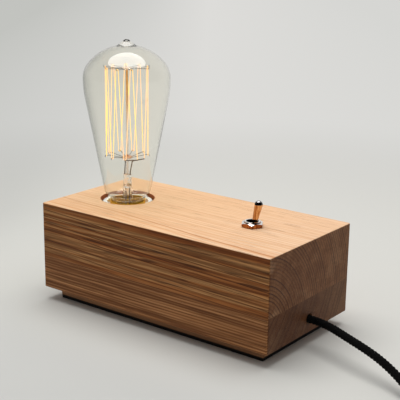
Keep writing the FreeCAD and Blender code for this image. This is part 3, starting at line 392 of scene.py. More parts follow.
def ash_end(finish, grain, board):
    """The end grain: rings cut across, pale blotches by the front, and painted shade that is deepest at the
    front and lifts to the back.
    """
    pale, dark = tint(176, 134, 98), tint(84, 48, 28)
    by_front = 1 - grain.across.rise(front_face + 4.0 * MM, front_face + 20.0 * MM)
    # Painted shade: the end darkens towards the front and grows paler towards the back, where the light from
    # behind falls more.
    painted_front_shade = 1 - grain.across.rise(front_face + 20.0 * MM, 0.0)
    painted_light_to_back = grain.across.rise(0.0, 45.0 * MM)
    return finish.coated(
        finish.blend(grain.streak.rise(0.3, 0.7), tint(148, 100, 64), tint(126, 80, 48)),
        (grain.quick.rise(0.5, 0.62) * (0.25 + 0.6 * by_front), pale),
        (board.end_shade, dark),
        (painted_front_shade * 0.16, dark),
        (painted_light_to_back * (0.1 + 0.6 * board.end_shade), pale),
        (grain.late * 0.85, tint(74, 42, 24)),
        (grain.line * 0.5, tint(48, 26, 14)),
        (grain.weight.rise(0.5, 0.9) * board.end_shade, tint(58, 32, 18)),
        (grain.fibre.rise(0.45, 0.65) * 0.3, tint(70, 40, 24)))


def ash(name, board):
    """Oiled ash, as one solid board: rings about a pith that runs along X, with fibres and pores."""
    finish = Finish(name, {"IOR": 1.45, "Specular IOR Level": 0.2})
    grain = read_grain(finish, board)
    nose, _, crown = finish.axes(finish.node("NewGeometry", {}, output="Normal"))
    from_bore = ((grain.along - socket_x) ** 2 + grain.across ** 2) ** 0.5
    in_bore = 1 - from_bore.rise(bore_radius, bore_radius + 0.6 * MM)
    # Colours by which way a face turns: the top, sides and end grain differ partly as wood and partly as
    # painted shade, darker where the light from above falls less.
    colour = finish.coated(
        ash_side(finish, grain, board),
        (nose.size().rise(0.6, 0.85), ash_end(finish, grain, board)),
        (crown.rise(0.35, 0.8), ash_top(finish, grain)),
        (in_bore, tint(172, 98, 54)))
    finish.feed("Base Color", finish.blend(grain.pore * 0.45, colour, tint(96, 58, 34), "MULTIPLY"))
    finish.feed("Roughness", 0.5 + 0.14 * grain.fibre + 0.1 * grain.pore - 0.06 * grain.late)
    raised = grain.late * 0.5 + grain.fibre * 0.6 - grain.pore * 1.2 - grain.dash * 0.8
    finish.relief(raised, 0.1 * MM)
    return finish.material


# ---- The other finishes --------------------------------------------------------------
def stained_wood():
    """The plinth: dark stained board, matt, with the grain just showing, and a painted near-black shadow
    along its lowest millimetre.
    """
    finish = Finish("dark_stained_board", {"IOR": 1.45, "Specular IOR Level": 0.3})
    place = finish.place()
    grain = finish.drawn_noise(place, (10.0, 420.0, 420.0), 3.0, 0.6)
    cloud = finish.noise(place, 30.0)
    _, _, up = finish.axes(place)
    # Painted shadow: the board turns near black just above the felt, widening the felt's dark line as the
    # contact shadow under the block does.
    foot = 1 - up.rise(felt_high.z + 0.6 * MM, felt_high.z + 1.6 * MM)
    colour = finish.blend(grain.rise(0.3, 0.7), tint(176, 128, 90), tint(140, 98, 66))
    colour = finish.coated(colour, (cloud * 0.3, tint(104, 70, 48)), (foot, tint(14, 10, 8)))
    finish.feed("Base Color", colour)
    finish.feed("Roughness", 0.6 + 0.2 * grain)
    finish.relief(grain, 0.06 * MM)
    return finish.material


def felted():
    """The pad: black wool felt with a little pale lint."""
    sheen = {"Sheen Weight": 0.08, "Sheen Roughness": 0.6, "Specular IOR Level": 0.1}
    finish = Finish("black_wool_felt", sheen)
    place = finish.place()
    fuzz = finish.noise(place, 2600.0, 3.0, 0.7)
    lint = finish.noise(place, 500.0).rise(0.62, 0.8)
    colour = finish.blend(fuzz, tint(6, 6, 7), tint(20, 20, 20))
    finish.feed("Base Color", finish.blend(lint * 0.3, colour, tint(44, 42, 40)))
    finish.feed("Roughness", 0.9 + 0.1 * fuzz)
    finish.relief(fuzz, 0.3 * MM)
    return finish.material


def metal(name, colour, dull, roughness, smudge=0.06, metallic=1.0):
    """A metal that is drawn, turned or plated: fine lines and faint smudges."""
    finish = Finish(name, {"Metallic": metallic})
    place = finish.place()
    marks = finish.noise(place, 700.0, roughness=0.6)
    cloud = finish.noise(place, 120.0, 3.0, 0.6)
    finish.feed("Base Color", finish.blend(cloud.rise(0.45, 0.8) * 0.5, colour, dull))
    finish.feed("Roughness", roughness + smudge * cloud + 0.5 * smudge * marks)
    finish.relief(marks, 0.006 * MM)
    return finish.material


def plated(name, bright, sides, bright_from=cad_high.z):
    """Bright nickel with a painted reflection of the wood on its sides, up to the height where it stays
    bright, and a painted dark reflection on faces that turn away from up.
    """
    finish = Finish(name, {"Metallic": 1.0})
    place = finish.place()
    _, _, up = finish.axes(place)
    _, _, crown = finish.axes(finish.node("NewGeometry", {}, output="Normal"))
    runs = finish.drawn_noise(place, (900.0, 900.0, 40.0), 2.0, 0.6)
    cloud = finish.noise(place, 120.0, 3.0, 0.6)
    # Painted reflection: the sides take the wood's colours, streaked along the runs, and where that stops,
    # faces that turn away from up go near black.
    dark, medium, pale = sides
    side = finish.ramp(runs, (0.38, dark), (0.5, medium), (0.62, pale))
    painted_reflection_share = (1 - crown.rise(0.5, 0.9)) * (1 - up.rise(bright_from, bright_from + 0.2 * MM))
    bright_with_painted_dark_edges = finish.blend(crown.rise(0.45, 0.85), tint(44, 44, 46), bright)
    finish.feed("Base Color", finish.blend(1 - painted_reflection_share, side, bright_with_painted_dark_edges))
    finish.feed("Roughness", 0.07 + 0.05 * cloud)
    finish.relief(runs, 0.006 * MM)
    return finish.material


def moulded(name, colour, worn, roughness, grain=2200.0, depth=0.02 * MM):
    """Moulded plastic or rubber with a fine spark-eroded skin."""
    finish = Finish(name, {"IOR": 1.48})
    place = finish.place()
    skin = finish.noise(place, grain)
    cloud = finish.noise(place, 70.0, 3.0, 0.6)
    finish.feed("Base Color", finish.blend(cloud.rise(0.4, 0.8) * 0.6, colour, worn))
    finish.feed("Roughness", roughness + 0.1 * cloud + 0.05 * skin)
    finish.relief(skin, depth)
    return finish.material


def glazed():
    """The holder's porcelain: white, under a clear glaze with a few specks."""
    finish = Finish("glazed_porcelain", {"IOR": 1.52, "Coat Roughness": 0.04, "Subsurface Weight": 0.05,
                                         "Subsurface Scale": 2.0 * MM})
    place = finish.place()
    cloud = finish.noise(place, 90.0, 3.0, 0.55)
    specks = finish.noise(place, 900.0, 1.0).rise(0.72, 0.78)
    colour = finish.blend(cloud, tint(250, 249, 246), tint(242, 240, 234))
    finish.feed("Base Color", finish.blend(specks * 0.3, colour, tint(170, 160, 146)))
    finish.feed("Roughness", 0.12 + 0.1 * cloud)
    finish.feed("Coat Weight", 0.5 + 0.3 * cloud)
    finish.relief(cloud, 0.08 * MM)
    return finish.material


def see_through(name, clear, edge, bending=1.47, ripple=0.0):
    """Blown glass: clear where it is seen square on, greyer at its edges, partly as its own tint and
    partly as painted shade that is darkest at the edge on the camera's left, and thin towards the
    cap. Shadows pass through it."""
    finish = Finish(name, {"Transmission Weight": 1.0, "IOR": bending, "Roughness": 0.0})
    along, across, up = finish.axes(finish.place())
    foot = 1 - up.rise(cap_high.z - 1.0 * MM, cap_high.z + 3.5 * MM)
    finish.feed("Alpha", (0.75 if ripple else 1.0) * (1 - 0.94 * foot))
    if ripple:
        finish.relief(finish.noise(finish.place(), 420.0, 1.0), ripple)
    # Painted shade: the edges are greyed, most of all at the camera's left, standing in for the dark
    # surroundings the glass shows there.
    turn = math.radians(view_azimuth)
    aside = (along - socket_x) * math.cos(turn) + across * math.sin(turn)
    painted_dark_left_edge = 1 - aside.rise(-24.0 * MM, 0.0)
    facing = finish.node("LayerWeight", {"Blend": 0.35}, output="Facing")
    grazing = facing.rise(0.45 - 0.25 * painted_dark_left_edge, 1.0)
    seed = finish.noise(finish.place(), 60.0, 1.0)
    colour = finish.blend(grazing, clear, finish.blend(painted_dark_left_edge, edge, tint(132, 135, 130)))
    finish.feed("Base Color", finish.blend(seed * 0.04, colour, tint(236, 240, 232)))

    is_shadow = finish.node("LightPath", {}, output="Is Shadow Ray")
    open_way = finish.node("BsdfTransparent", {0: tint(244, 246, 242)})
    sockets = {0: is_shadow, 1: Reading(finish, finish.shader.outputs[0]), 2: open_way}
    finish.join(finish.node("MixShader", sockets), finish.output.inputs["Surface"])
    return finish.material


def rod_with_painted_glow():
    """The glass rod and its buttons: a painted amber glow at the top, where the lit strands shine in, and
    clear below.
    """
    finish = Finish("rod_glass_with_painted_glow", {"IOR": 1.33, "Roughness": 0.05, "Transmission Weight": 0.85})
    _, _, up = finish.axes(finish.place())
    head = up.rise(rod_high.z - 2.2 * MM, rod_high.z - 1.4 * MM)
    # Painted glow: the clear rod turns amber between these heights, standing in for the light of the lit
    # strands.
    lit = up.rise(bulb_foot + painted_glow_from_height, bulb_foot + painted_glow_to_height) * (1 - head)
    button = 1 - (up - (bulb_foot + lower_button_height)).size().rise(0.8 * MM, 1.4 * MM)
    colour = finish.blend(lit, tint(240, 212, 190), tint(240, 186, 104))
    finish.feed("Base Color", finish.blend(button * 0.8, colour, tint(226, 140, 60)))
    finish.feed("Alpha", 0.5 + 0.5 * lit + 0.4 * button)
    return finish.material


def glowing():
    """The lit filament: yellow where it runs hottest, peach towards its hooks."""
    finish = Finish("lit_filament", {"Emission Strength": 1.6, "Roughness": 0.6})
    place = finish.place()
    _, _, up = finish.axes(place)
    middle = bulb_foot + (cage_foot_height + cage_head_height) / 2
    half_height = (cage_head_height - cage_foot_height) / 2
    ends = ((up - middle).size() / half_height).rise(0.45, 1.0)
    strand = finish.drawn_noise(place, (160.0, 160.0, 6.0), 1.0)
    colour = finish.blend(strand.rise(0.4, 0.6), tint(255, 216, 104), tint(255, 200, 140))
    finish.feed("Base Color", tint(60, 40, 30))
    finish.feed("Emission Color", finish.blend(ends * 0.4, colour, tint(255, 184, 120)))
    return finish.material


def braided():
    """Black braid: crossing bundles of thread, read along the cord and around it."""
    finish = Finish("black_braid", {"Specular IOR Level": 0.12})
    along, around, _ = finish.axes(finish.node("UVMap", {}, uv_map="cord_run"))
    turns = around / (math.pi * cord_diameter) * braid_strands
    steps = along / braid_pitch
    first = turns + steps
    second = turns - steps
    over = (first.wave() * second.wave()).rise(-0.15, 0.15)
    threads_up = (second * threads_per_strand).wave().size()
    threads_down = (first * threads_per_strand).wave().size()
    thread = threads_up * over + threads_down * (1 - over)
    hollow = first.wave().size() * second.wave().size()
    lint = finish.noise(finish.place(), 1400.0, roughness=0.7)
    colour = finish.blend(thread, tint(2, 2, 3), tint(13, 13, 14))
    finish.feed("Base Color", finish.blend(lint.rise(0.6, 0.85) * 0.3, colour, tint(30, 30, 30)))
    finish.feed("Roughness", 0.72 + 0.2 * lint)
    finish.relief(thread * 0.5 + hollow * 0.7 + lint * 0.2, 0.25 * MM)
    return finish.material


def webbing():
    """The hook-and-loop tie round the coil."""
    finish = Finish("black_tie_webbing", {"Sheen Weight": 0.4, "Specular IOR Level": 0.1})
    loops = finish.noise(finish.place(), 1800.0, 3.0, 0.8)
    finish.feed("Base Color", finish.blend(loops, tint(16, 16, 17), tint(44, 44, 45)))
    finish.feed("Roughness", 0.85 + 0.1 * loops)
    finish.relief(loops, 0.5 * MM)
    return finish.material


# ---- Shaping -------------------------------------------------------------------------
def polar(centre, radius, degrees):
    turn = math.radians(degrees)
    return (centre[0] + radius * math.cos(turn), centre[1] + radius * math.sin(turn))


def arc(centre, radius, start, end, steps=arc_steps):
    """Points along an arc, both ends included."""
    return [polar(centre, radius, start + (end - start) * n / steps) for n in range(steps + 1)]


def spun(outline, steps=turn_steps, is_closed=True):
    """A solid turned about the bulb's axis, or a turned wall, from (radius, height) points."""
    bm = bmesh.new()
    corners = [bm.verts.new((socket_x + radius, 0, height)) for radius, height in outline]
    runs = [bm.edges.new(pair) for pair in zip(corners, corners[1:])]
    if is_closed:
        runs.append(bm.edges.new((corners[-1], corners[0])))
    bmesh.ops.spin(bm, geom=corners + runs, cent=(socket_x, 0, 0), axis=(0, 0, 1), angle=2 * math.pi,
                   steps=steps, use_merge=True, use_duplicate=False)
    bmesh.ops.remove_doubles(bm, verts=bm.verts, dist=1e-7)
    bmesh.ops.dissolve_degenerate(bm, edges=bm.edges, dist=1e-8)
    bmesh.ops.recalc_face_normals(bm, faces=bm.faces)
    return bm


def dressed(name, mesh, body, material, flat_angle=None):
    """A mesh as a smooth, finished piece that rides on a body, sharp past an angle if one is given."""
    made = bpy.data.objects.new(name, mesh)
    bpy.context.scene.collection.objects.link(made)
    mesh.materials.append(material)
    mesh.polygons.foreach_set("use_smooth", [True] * len(mesh.polygons))
    if flat_angle is not None:
        mesh.set_sharp_from_angle(angle=math.radians(flat_angle))
    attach(made, body)
    return made


def piece(name, bm, body, material, flat_angle=None):
    """The same from a bmesh."""
    mesh = bpy.data.meshes.new(name)
    bm.to_mesh(mesh)
    bm.free()
    return dressed(name, mesh, body, material, flat_angle)


# ---- Bulb ----------------------------------------------------------------------------
def wall_line(inset):
    """The glass's outline from its foot to the dome's shoulder, set in by a wall, and the crown:
    its centre, its radius and the angle at which it meets the shoulder."""
    widest = (glass_high.x - glass_low.x) / 2
    lean = math.radians(flank_slope)
    belly = (widest - belly_radius, bulb_foot + belly_height)
    shoulder = (shoulder_half_width - shoulder_radius * math.cos(lean),
                bulb_foot + shoulder_height + shoulder_radius * math.sin(lean))
    side = neck_radius + throat_radius - shoulder[0]
    fall = math.sqrt((shoulder_radius + throat_radius) ** 2 - side ** 2)
    throat = (neck_radius + throat_radius, shoulder[1] - fall)
    swing = math.degrees(math.atan2(-fall, side))
    crest = (widest - dome_shoulder_radius, belly[1])
    dome_top = belly[1] + dome_rise
    crown = crest[0] ** 2 + dome_rise ** 2 - dome_shoulder_radius ** 2
    crown /= 2 * (dome_rise - dome_shoulder_radius)
    crown_centre = (0.0, dome_top - crown)
    crown_turn = math.degrees(math.atan2(crest[1] - crown_centre[1], crest[0]))
    line = [(neck_radius - inset, glass_low.z)]
    line += arc(throat, throat_radius + inset, 180, 180 + swing)
    line += arc(shoulder, shoulder_radius - inset, swing, -flank_slope)
    line += arc(belly, belly_radius - inset, -flank_slope, 0, 2 * arc_steps)
    line += arc(crest, dome_shoulder_radius - inset, 0, crown_turn)[1:]
    return line, crown_centre, crown - inset, crown_turn


def blow_glass(material):
    """The envelope: a thin wall whose crown rises into the sealed-off pip."""
    outer, centre, crown, turn = wall_line(0.0)
    inner, _, inner_crown, _ = wall_line(glass_wall)
    base_turn = math.degrees(math.acos(pip_base_radius / crown))
    tip_centre = (0.0, glass_high.z - pip_tip_radius)
    outline = outer + arc(centre, crown, turn, base_turn)[1:]
    foot = outline[-1]
    waist = polar(tip_centre, pip_tip_radius, pip_slope)
    for step in range(1, pip_steps):
        share = step / pip_steps
        ease = share * share * (3 - 2 * share)
        outline.append((foot[0] + (waist[0] - foot[0]) * share, foot[1] + (waist[1] - foot[1]) * ease))
    outline += arc(tip_centre, pip_tip_radius, pip_slope, 90, pip_steps)
    outline += arc(centre, inner_crown, 90, turn, 2 * arc_steps)
    outline += list(reversed(inner))[1:]
    glass = piece("bulb_envelope", spun(outline), "bulb", material)
    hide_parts("bulb_glass")


def thread_bump(height, turn, low, high):
    """How far the rolled thread draws in at a height and an angle, fading out at both ends."""
    fade_in = min(1.0, max(0.0, (height - low) / thread_fade))
    fade_out = min(1.0, max(0.0, (high - height) / thread_fade))
    phase = 2 * math.pi * height / thread_pitch - turn
    return fade_in * fade_out * thread_depth * (1 - math.cos(phase)) / 2


def rolled(bm, low, high):
    """Draws a right-handed thread into the part of a turned wall between two heights."""
    for vert in bm.verts:
        if low < vert.co.z < high:
            out = Vector((vert.co.x - socket_x, vert.co.y, 0.0))
            turn = math.atan2(out.y, out.x)
            vert.co -= out.normalized() * thread_bump(vert.co.z, turn, low, high)
    bmesh.ops.recalc_face_normals(bm, faces=bm.faces)


def roll_cap(material):
    """The bulb's brass cap: foot, rolled thread, crimp groove and skirt."""
    radius = (cap_high.x - cap_low.x) / 2
    start = cap_low.z + (radius - cap_foot_radius)
    skirt = cap_high.z - cap_skirt
    outline = [(cap_foot_radius - cap_foot_lip, cap_low.z), (cap_foot_radius, cap_low.z)]
    outline += [(radius, start + (skirt - start) * n / thread_rows) for n in range(thread_rows + 1)]
    outline += [(radius - cap_crimp, skirt + cap_crimp), (radius - cap_crimp, skirt + 3 * cap_crimp)]
    outline += [(radius, skirt + 4 * cap_crimp), (radius, cap_high.z - cap_rim_drop)]
    outline += [(radius - cap_rim_inset, cap_high.z)]
    bm = spun(outline, thread_turn_steps, is_closed=False)
    rolled(bm, start, skirt - cap_thread_gap)
    bmesh.ops.solidify(bm, geom=bm.faces[:], thickness=cap_wall)
    cap = piece("screw_cap", bm, "bulb", material, flat_angle=40)
    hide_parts("bulb_cap")


def roll_shell(material):
    """The holder's threaded brass shell."""
    inside = (shell_high.x - shell_low.x) / 2 - cap_wall
    low = shell_low.z + cap_wall
    outline = [(inside - shell_lip, shell_low.z + cap_wall / 2), (inside, low)]
    outline += [(inside, low + (shell_high.z - low) * n / thread_rows) for n in range(1, thread_rows + 1)]
    bm = spun(outline, thread_turn_steps, is_closed=False)
    rolled(bm, low + shell_thread_gap, shell_high.z - shell_thread_gap)
    bmesh.ops.solidify(bm, geom=bm.faces[:], thickness=-cap_wall)
    shell = piece("threaded_shell", bm, "base", material, flat_angle=40)
    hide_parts("screw_shell")


# ---- Felt ----------------------------------------------------------------------------
def lay_felt(material):
    """The pad below the plinth, with soft edges."""
    size = felt_high - felt_low
    bm = bmesh.new()
    bmesh.ops.create_cube(bm, size=1.0)
    bmesh.ops.scale(bm, verts=bm.verts, vec=size)
    bmesh.ops.translate(bm, verts=bm.verts, vec=(felt_low + felt_high) / 2)
    bmesh.ops.bevel(bm, geom=bm.edges[:], offset=felt_edge_round, offset_type="OFFSET", affect="EDGES",
                    segments=3, profile=0.5, material=-1)
    felt = piece("felt_sole", bm, "base", material, flat_angle=35)
    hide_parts("felt_pad")


# ---- Cord ----------------------------------------------------------------------------
# Points of the cord: distance beyond the block's end, place across it and height.
cord_route = [
    (-0.006, 0.0, 0.0192),
    (0.007, 0.0, 0.0192),
    (0.0205, -0.0046, 0.0193),
    (0.0345, -0.0104, 0.0186),
    (0.049, -0.0154, 0.0174),
    (0.063, -0.0196, 0.0150),
    (0.0765, -0.0246, 0.0112),
    (0.0885, -0.0312, 0.0074),
    (0.100, -0.0386, 0.0044),
]
coil_from_end = 0.144
coil_x = block_end + coil_from_end
coil_y = -0.010
coil_mean_radius = 0.033
layer_step = 6.05 * MM
whole_loops = 7
approach_heading = -20.0
approach_run = 12.5 * MM
plug_heading = 90.0
points_per_turn = 24
half_wind = math.pi * (whole_loops + (plug_heading - approach_heading) / 360)


def heading(degrees):
    """A level direction."""
    turn = math.radians(degrees)
    return Vector((math.cos(turn), math.sin(turn), 0))


def coil_place(angle):
    """A point of the coil, angle radians along it. It winds in, climbs and winds out again."""
    rate = layer_step / (2 * math.pi)
    from_middle = angle - half_wind
    quarter = math.pi / 2
    least = coil_mean_radius - rate * half_wind / 2
    climb = 1.0 if from_middle > 0 else 0.0
    radius = least + rate * abs(from_middle)
    if abs(from_middle) < quarter:
        radius = least + rate * (from_middle ** 2 / math.pi + math.pi / 4)
        share = (from_middle + quarter) / math.pi
        climb = share * share * (3 - 2 * share)
    turn = math.radians(approach_heading) - quarter + angle
    height = cord_radius + climb * layer_step
    return Vector((coil_x + radius * math.cos(turn), coil_y + radius * math.sin(turn), height))


def cord_points():
    """The spline's control points from the hole in the block to the plug's sleeve."""
    ahead = heading(approach_heading)
    entry = coil_place(0.0) - ahead * cord_diameter
    points = [Vector((block_end + beyond, across, height)) for beyond, across, height in cord_route]
    points += [entry - ahead * approach_run, entry]
    count = round(2 * half_wind / (2 * math.pi) * points_per_turn)
    points += [coil_place(2 * half_wind * n / count) for n in range(count + 1)]
    points.append(points[-1] + heading(plug_heading) * cord_diameter)
    return points


def spline_mesh(points, bevel):
    """The mesh of a smooth spline with these control points: its middle line, or a tube round it."""
    curve = bpy.data.curves.new("cord_curve", "CURVE")
    curve.dimensions = "3D"
    spline = curve.splines.new("NURBS")
    spline.points.add(len(points) - 1)
    for spot, place in zip(spline.points, points):
        spot.co = (*place, 1.0)
    spline.order_u = 3
    spline.use_endpoint_u = True
    spline.resolution_u = rings_per_point
    curve.resolution_u = rings_per_point
    curve.bevel_depth = bevel
    curve.bevel_resolution = ring_resolution
    holder = bpy.data.objects.new("cord_holder", curve)
    bpy.context.scene.collection.objects.link(holder)
    mesh = bpy.data.meshes.new_from_object(holder)
    bpy.data.objects.remove(holder)
    return mesh


def run_lengths(places):
    """How far along the line each of its points is."""
    lengths = [0.0]
    for here, there in zip(places, places[1:]):
        lengths.append(lengths[-1] + (there - here).length)
    return lengths


def evenly(places, step):
    """The same line with its points about one step apart."""
    lengths = run_lengths(places)
    count = round(lengths[-1] / step)
    spots = []
    here = 0
    for number in range(count + 1):
        goal = lengths[-1] * number / count
        while here < len(lengths) - 2 and lengths[here + 1] < goal:
            here += 1
        share = (goal - lengths[here]) / (lengths[here + 1] - lengths[here])
        spots.append(places[here].lerp(places[here + 1], share))
    return spots


def raise_braid(mesh, middle, lengths):
    """Swells the tube where its strands cross."""
    around = len(mesh.vertices) // len(middle)
    for vert in mesh.vertices:
        ring = vert.index // around
        turns = (vert.index % around) / around * braid_strands
        steps = lengths[ring] / braid_pitch
        swell = abs(math.sin(math.pi * (turns + steps)) * math.sin(math.pi * (turns - steps)))
        out = (vert.co - middle[ring]).normalized()
        vert.co += out * (2 * braid_relief * (swell - 0.25))


def map_run(mesh, lengths):
    """Gives the tube a map in metres, along the cord and around it."""
    run = mesh.uv_layers.new(name="cord_run")
    shares = mesh.uv_layers[0]
    last = len(lengths) - 1
    for loop in mesh.loops:
        share = shares.data[loop.index].uv
        run.data[loop.index].uv = (lengths[round(share.x * last)], share.y * math.pi * cord_diameter)


def close_ends(mesh):
    bm = bmesh.new()
    bm.from_mesh(mesh)
    rims = [edge for edge in bm.edges if edge.is_boundary]
    bmesh.ops.holes_fill(bm, edges=rims, sides=0)
    bmesh.ops.recalc_face_normals(bm, faces=bm.faces)
    bm.to_mesh(mesh)
    bm.free()


def braid_cord(material):
    """The braided cord from the block through the coil to the plug."""
    route = [vert.co.copy() for vert in spline_mesh(cord_points(), 0.0).vertices]
    points = evenly(route, ring_spacing * rings_per_point)
    middle = [vert.co.copy() for vert in spline_mesh(points, 0.0).vertices]
    lengths = run_lengths(middle)
    mesh = spline_mesh(points, cord_radius - braid_relief)
    raise_braid(mesh, middle, lengths)
    map_run(mesh, lengths)
    close_ends(mesh)
    cord = dressed("braided_cord", mesh, "base", material)
    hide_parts("cord_free", "cord_coil")


def tie_coil(material):
    """The tie: a band round the whole bundle of turns, on the coil's side away from the plug."""
    half_bundle = layer_step * half_wind / (4 * math.pi) + cord_radius
    height = 2 * cord_radius + layer_step + tie_thickness
    size = (2 * half_bundle + tie_slack, tie_width, height)
    bm = bmesh.new()
    bmesh.ops.create_cube(bm, size=1.0)
    bmesh.ops.scale(bm, verts=bm.verts, vec=size)
    ends = [face for face in bm.faces if abs(face.normal.y) > 0.5]
    bmesh.ops.delete(bm, geom=ends, context="FACES_ONLY")
    runs = [edge for edge in bm.edges if abs((edge.verts[0].co - edge.verts[1].co).y) > tie_width / 2]
    bmesh.ops.bevel(bm, geom=runs, offset=tie_corner, offset_type="OFFSET", affect="EDGES", segments=8,
                    profile=0.5, material=-1)
    bmesh.ops.solidify(bm, geom=bm.faces[:], thickness=tie_thickness)
    bmesh.ops.translate(bm, verts=bm.verts, vec=(-coil_mean_radius, 0, height / 2))
    turn = Euler((0, 0, math.radians(tie_heading))).to_matrix()
    bmesh.ops.rotate(bm, verts=bm.verts, cent=(0, 0, 0), matrix=turn)
    bmesh.ops.translate(bm, verts=bm.verts, vec=(coil_x, coil_y, 0))
    bmesh.ops.recalc_face_normals(bm, faces=bm.faces)
    tie = piece("coil_tie", bm, "base", material, flat_angle=30)
    tie.modifiers.new("rounded", "BEVEL").width = tie_edge_round


# ---- Stage ---------------------------------------------------------------------------
table_radius = 12.0
panel_height = 1.02
panel_behind = 0.08
panel_length = 1.08
panel_width = 0.82
panel_power = 8.35


def floor_finish():
    """A pale table that keeps its shadows near the lamp and glows further away, with painted shade that
    darkens it to one side, behind to the left and in front, and a far glow painted darker to one side.
    """
    finish = Finish("pale_table", {"Roughness": 0.85, "Specular IOR Level": 0.2})
    along, across, _ = finish.axes(finish.place())
    side = along * 0.8 + across * 0.6
    reach = (along ** 2 + across ** 2) ** 0.5
    # Painted shade: the table's colour darkens to one side, behind to the left and in front, as the panel's
    # light falls off across it.
    painted_shade_behind_left = (1 - side.rise(-0.22, -0.1)) * reach.rise(0.18, 0.32) * 0.6
    painted_shade_in_front = 1 - across.rise(-0.13, -0.05)
    base = finish.blend(side.rise(-0.4, 0.1), tint(205, 206, 202), tint(216, 216, 212))
    base = finish.coated(base, (painted_shade_behind_left, tint(192, 193, 190)), (painted_shade_in_front, tint(205, 206, 204)))
    finish.feed("Base Color", base)

    rays = finish.node("LightPath", {}, output="Is Camera Ray")
    is_seen = rays + rays.other("Is Transmission Ray") + rays.other("Is Glossy Ray")
    # Painted light: the far glow is brightest in the middle and darker to one side, as light falls across
    # the room.
    pale = finish.ramp(side * 0.5 + 0.5, (0.25, tint(194, 195, 191)), (0.4, tint(208, 208, 205)),
                       (0.5, tint(221, 220, 217)), (0.75, tint(214, 214, 211)))
    glow = finish.node("Emission", {"Color": pale})
    far = reach.rise(0.28, 0.75)
    sockets = {0: far * is_seen, 1: Reading(finish, finish.shader.outputs[0]), 2: glow}
    finish.join(finish.node("MixShader", sockets), finish.output.inputs["Surface"])
    return finish.material


def set_table():
    bm = bmesh.new()
    bmesh.ops.create_circle(bm, cap_ends=True, segments=96, radius=table_radius)
    mesh = bpy.data.meshes.new("table_top")
    bm.to_mesh(mesh)
    bm.free()
    table = bpy.data.objects.new("table_top", mesh)
    bpy.context.scene.collection.objects.link(table)
    mesh.materials.append(floor_finish())


def hang_panel():
    """A soft panel overhead, a little behind the bulb."""
    panel = bpy.data.lights.new("overhead_softbox", "AREA")
    panel.shape = "ELLIPSE"
    panel.size = panel_length
    panel.size_y = panel_width
    panel.energy = panel_power
    panel.color = (1.0, 0.985, 0.965)
    overhead = bpy.data.objects.new("overhead_softbox", panel)
    bpy.context.scene.collection.objects.link(overhead)
    view = math.radians(view_azimuth)
    behind = Vector((-math.sin(view), math.cos(view), 0.0))
    overhead.location = Vector((socket_x, 0.0, panel_height)) + panel_behind * behind
    overhead.rotation_euler = (0.0, 0.0, view)


def light_room():
    """A room that is pale behind the lamp and dim on the camera's side."""
    world = bpy.data.worlds.new("studio")
    bpy.context.scene.world = world
    world.use_nodes = True
    room = Surroundings(world.node_tree)
    view = math.radians(view_azimuth)
    across, deep, up = room.axes(room.node("TexCoord", {}, output="Generated"))
    behind = deep * math.cos(view) - across * math.sin(view)
    backdrop = tint(219, 218, 215)
    walls = room.blend(behind.rise(-0.7, 0.8), tint(134, 133, 131), tint(176, 176, 175))
    mirrored = room.blend(behind.rise(-0.2, 0.6), tint(24, 24, 26), backdrop)
    rays = room.node("LightPath", {}, output="Is Camera Ray")
    is_seen = rays + rays.other("Is Transmission Ray")
    room.show(room.coated(
        walls,
        (up.rise(0.2, 0.9), tint(178, 178, 177)),
        (rays.other("Is Glossy Ray"), mirrored),
        (is_seen, backdrop)))


def set_camera():
    data = bpy.data.cameras.new("view")
    data.sensor_width = sensor_width
    data.lens = view_lens
    data.clip_start = 0.01
    data.clip_end = 50.0
    camera = bpy.data.objects.new("view", data)
    bpy.context.scene.collection.objects.link(camera)
    camera.location = view_place
    azimuth = math.radians(view_azimuth)
    elevation = math.radians(view_elevation)
    ahead = Vector((-math.sin(azimuth) * math.cos(elevation), math.cos(azimuth) * math.cos(elevation),
                    -math.sin(elevation)))
    roll = Euler((0.0, 0.0, math.radians(view_roll))).to_quaternion()
    camera.rotation_mode = "QUATERNION"
    camera.rotation_quaternion = ahead.to_track_quat("-Z", "Y") @ roll
    bpy.context.scene.camera = camera


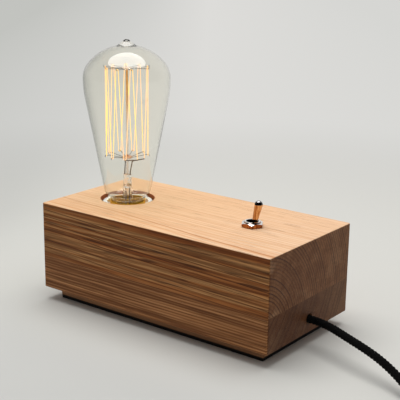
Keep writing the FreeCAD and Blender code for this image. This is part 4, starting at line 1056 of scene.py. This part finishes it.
# ---- Dressing the solids -------------------------------------------------------------
def slot_finishes():
    """One finish for each of the record's material slots, and the tie's own."""
    return {
        "dark_plinth": stained_wood(),
        "black_felt": felted(),
        "steel": metal("zinc_plated_steel", tint(196, 198, 202), tint(150, 152, 156), 0.28),
        "porcelain": glazed(),
        "brass": metal("drawn_brass", tint(255, 198, 66), tint(246, 162, 38), 0.32, 0.1, 0.55),
        "clear_glass": see_through("blown_glass", tint(252, 251, 246), tint(222, 221, 213)),
        "stem_glass": see_through("stem_glass", tint(253, 250, 246), tint(244, 238, 228), 1.3, 0.6 * MM),
        "black_glass": moulded("fused_black_glass", tint(20, 20, 24), tint(34, 34, 38), 0.08, 300.0),
        "solder": metal("dull_solder", tint(176, 176, 178), tint(120, 120, 122), 0.4, 0.2),
        "glowing_carbon": glowing(),
        "nickel_wire": metal("dull_nickel_wire", tint(112, 106, 98), tint(64, 58, 54), 0.35),
        "nickel": metal("bright_nickel", tint(214, 210, 204), tint(172, 168, 160), 0.12, 0.05),
        "phenolic": moulded("black_phenolic", tint(26, 25, 25), tint(44, 42, 40), 0.3, 900.0),
        "white_plastic": moulded("white_nylon", tint(232, 231, 226), tint(206, 203, 194), 0.4),
        "brown_insulation": moulded("brown_insulation", tint(96, 54, 30), tint(70, 38, 20), 0.38),
        "blue_insulation": moulded("blue_insulation", tint(40, 84, 168), tint(28, 60, 124), 0.38),
        "black_braid": braided(),
        "black_plastic": moulded("black_plug_plastic", tint(24, 24, 25), tint(42, 42, 43), 0.34, 1800.0),
        "black_rubber": moulded("black_rubber", tint(22, 22, 23), tint(40, 40, 40), 0.62, 2600.0, 0.05 * MM),
        "webbing": webbing(),
    }


def node_finishes():
    """The solids that differ from the rest of their slot."""
    # The side colours passed below are painted reflections of the wood, and the lever's tip is a dimmed grey
    # so that it reads dark, a painted dark reflection.
    white = tint(250, 250, 250)
    grey = tint(150, 150, 152)
    painted_nut_reflection = (tint(112, 62, 30), tint(150, 92, 50), tint(182, 122, 74))
    painted_lever_reflection = (tint(160, 110, 66), tint(204, 158, 108), tint(226, 184, 134))
    return {
        "arbor_rod": rod_with_painted_glow(),
        "switch_nut": plated("nickel_nut", white, painted_nut_reflection),
        "switch_frame": plated("nickel_bush", white, painted_nut_reflection),
        "toggle_lever": plated("nickel_lever", grey, painted_lever_reflection, lever_high.z - lever_tip_length),
        "upper_board": ash("ash_upper_board", upper_ash),
        "lower_board": ash("ash_lower_board", lower_ash),
    }


def dress_solids(shared):
    own = node_finishes()
    for row in frame["record"]["subparts"]:
        node = frame["nodes"][row["node"]]
        material = own.get(row["node"]) or shared[row["material_slot"]]
        node.data.materials.clear()
        node.data.materials.append(material)


finishes = slot_finishes()
dress_solids(finishes)
blow_glass(finishes["clear_glass"])
roll_cap(finishes["brass"])
roll_shell(finishes["brass"])
lay_felt(finishes["black_felt"])
braid_cord(finishes["black_braid"])
tie_coil(finishes["webbing"])
set_table()
hang_panel()
light_room()
set_camera()
bpy.context.scene.view_settings.view_transform = "Standard"
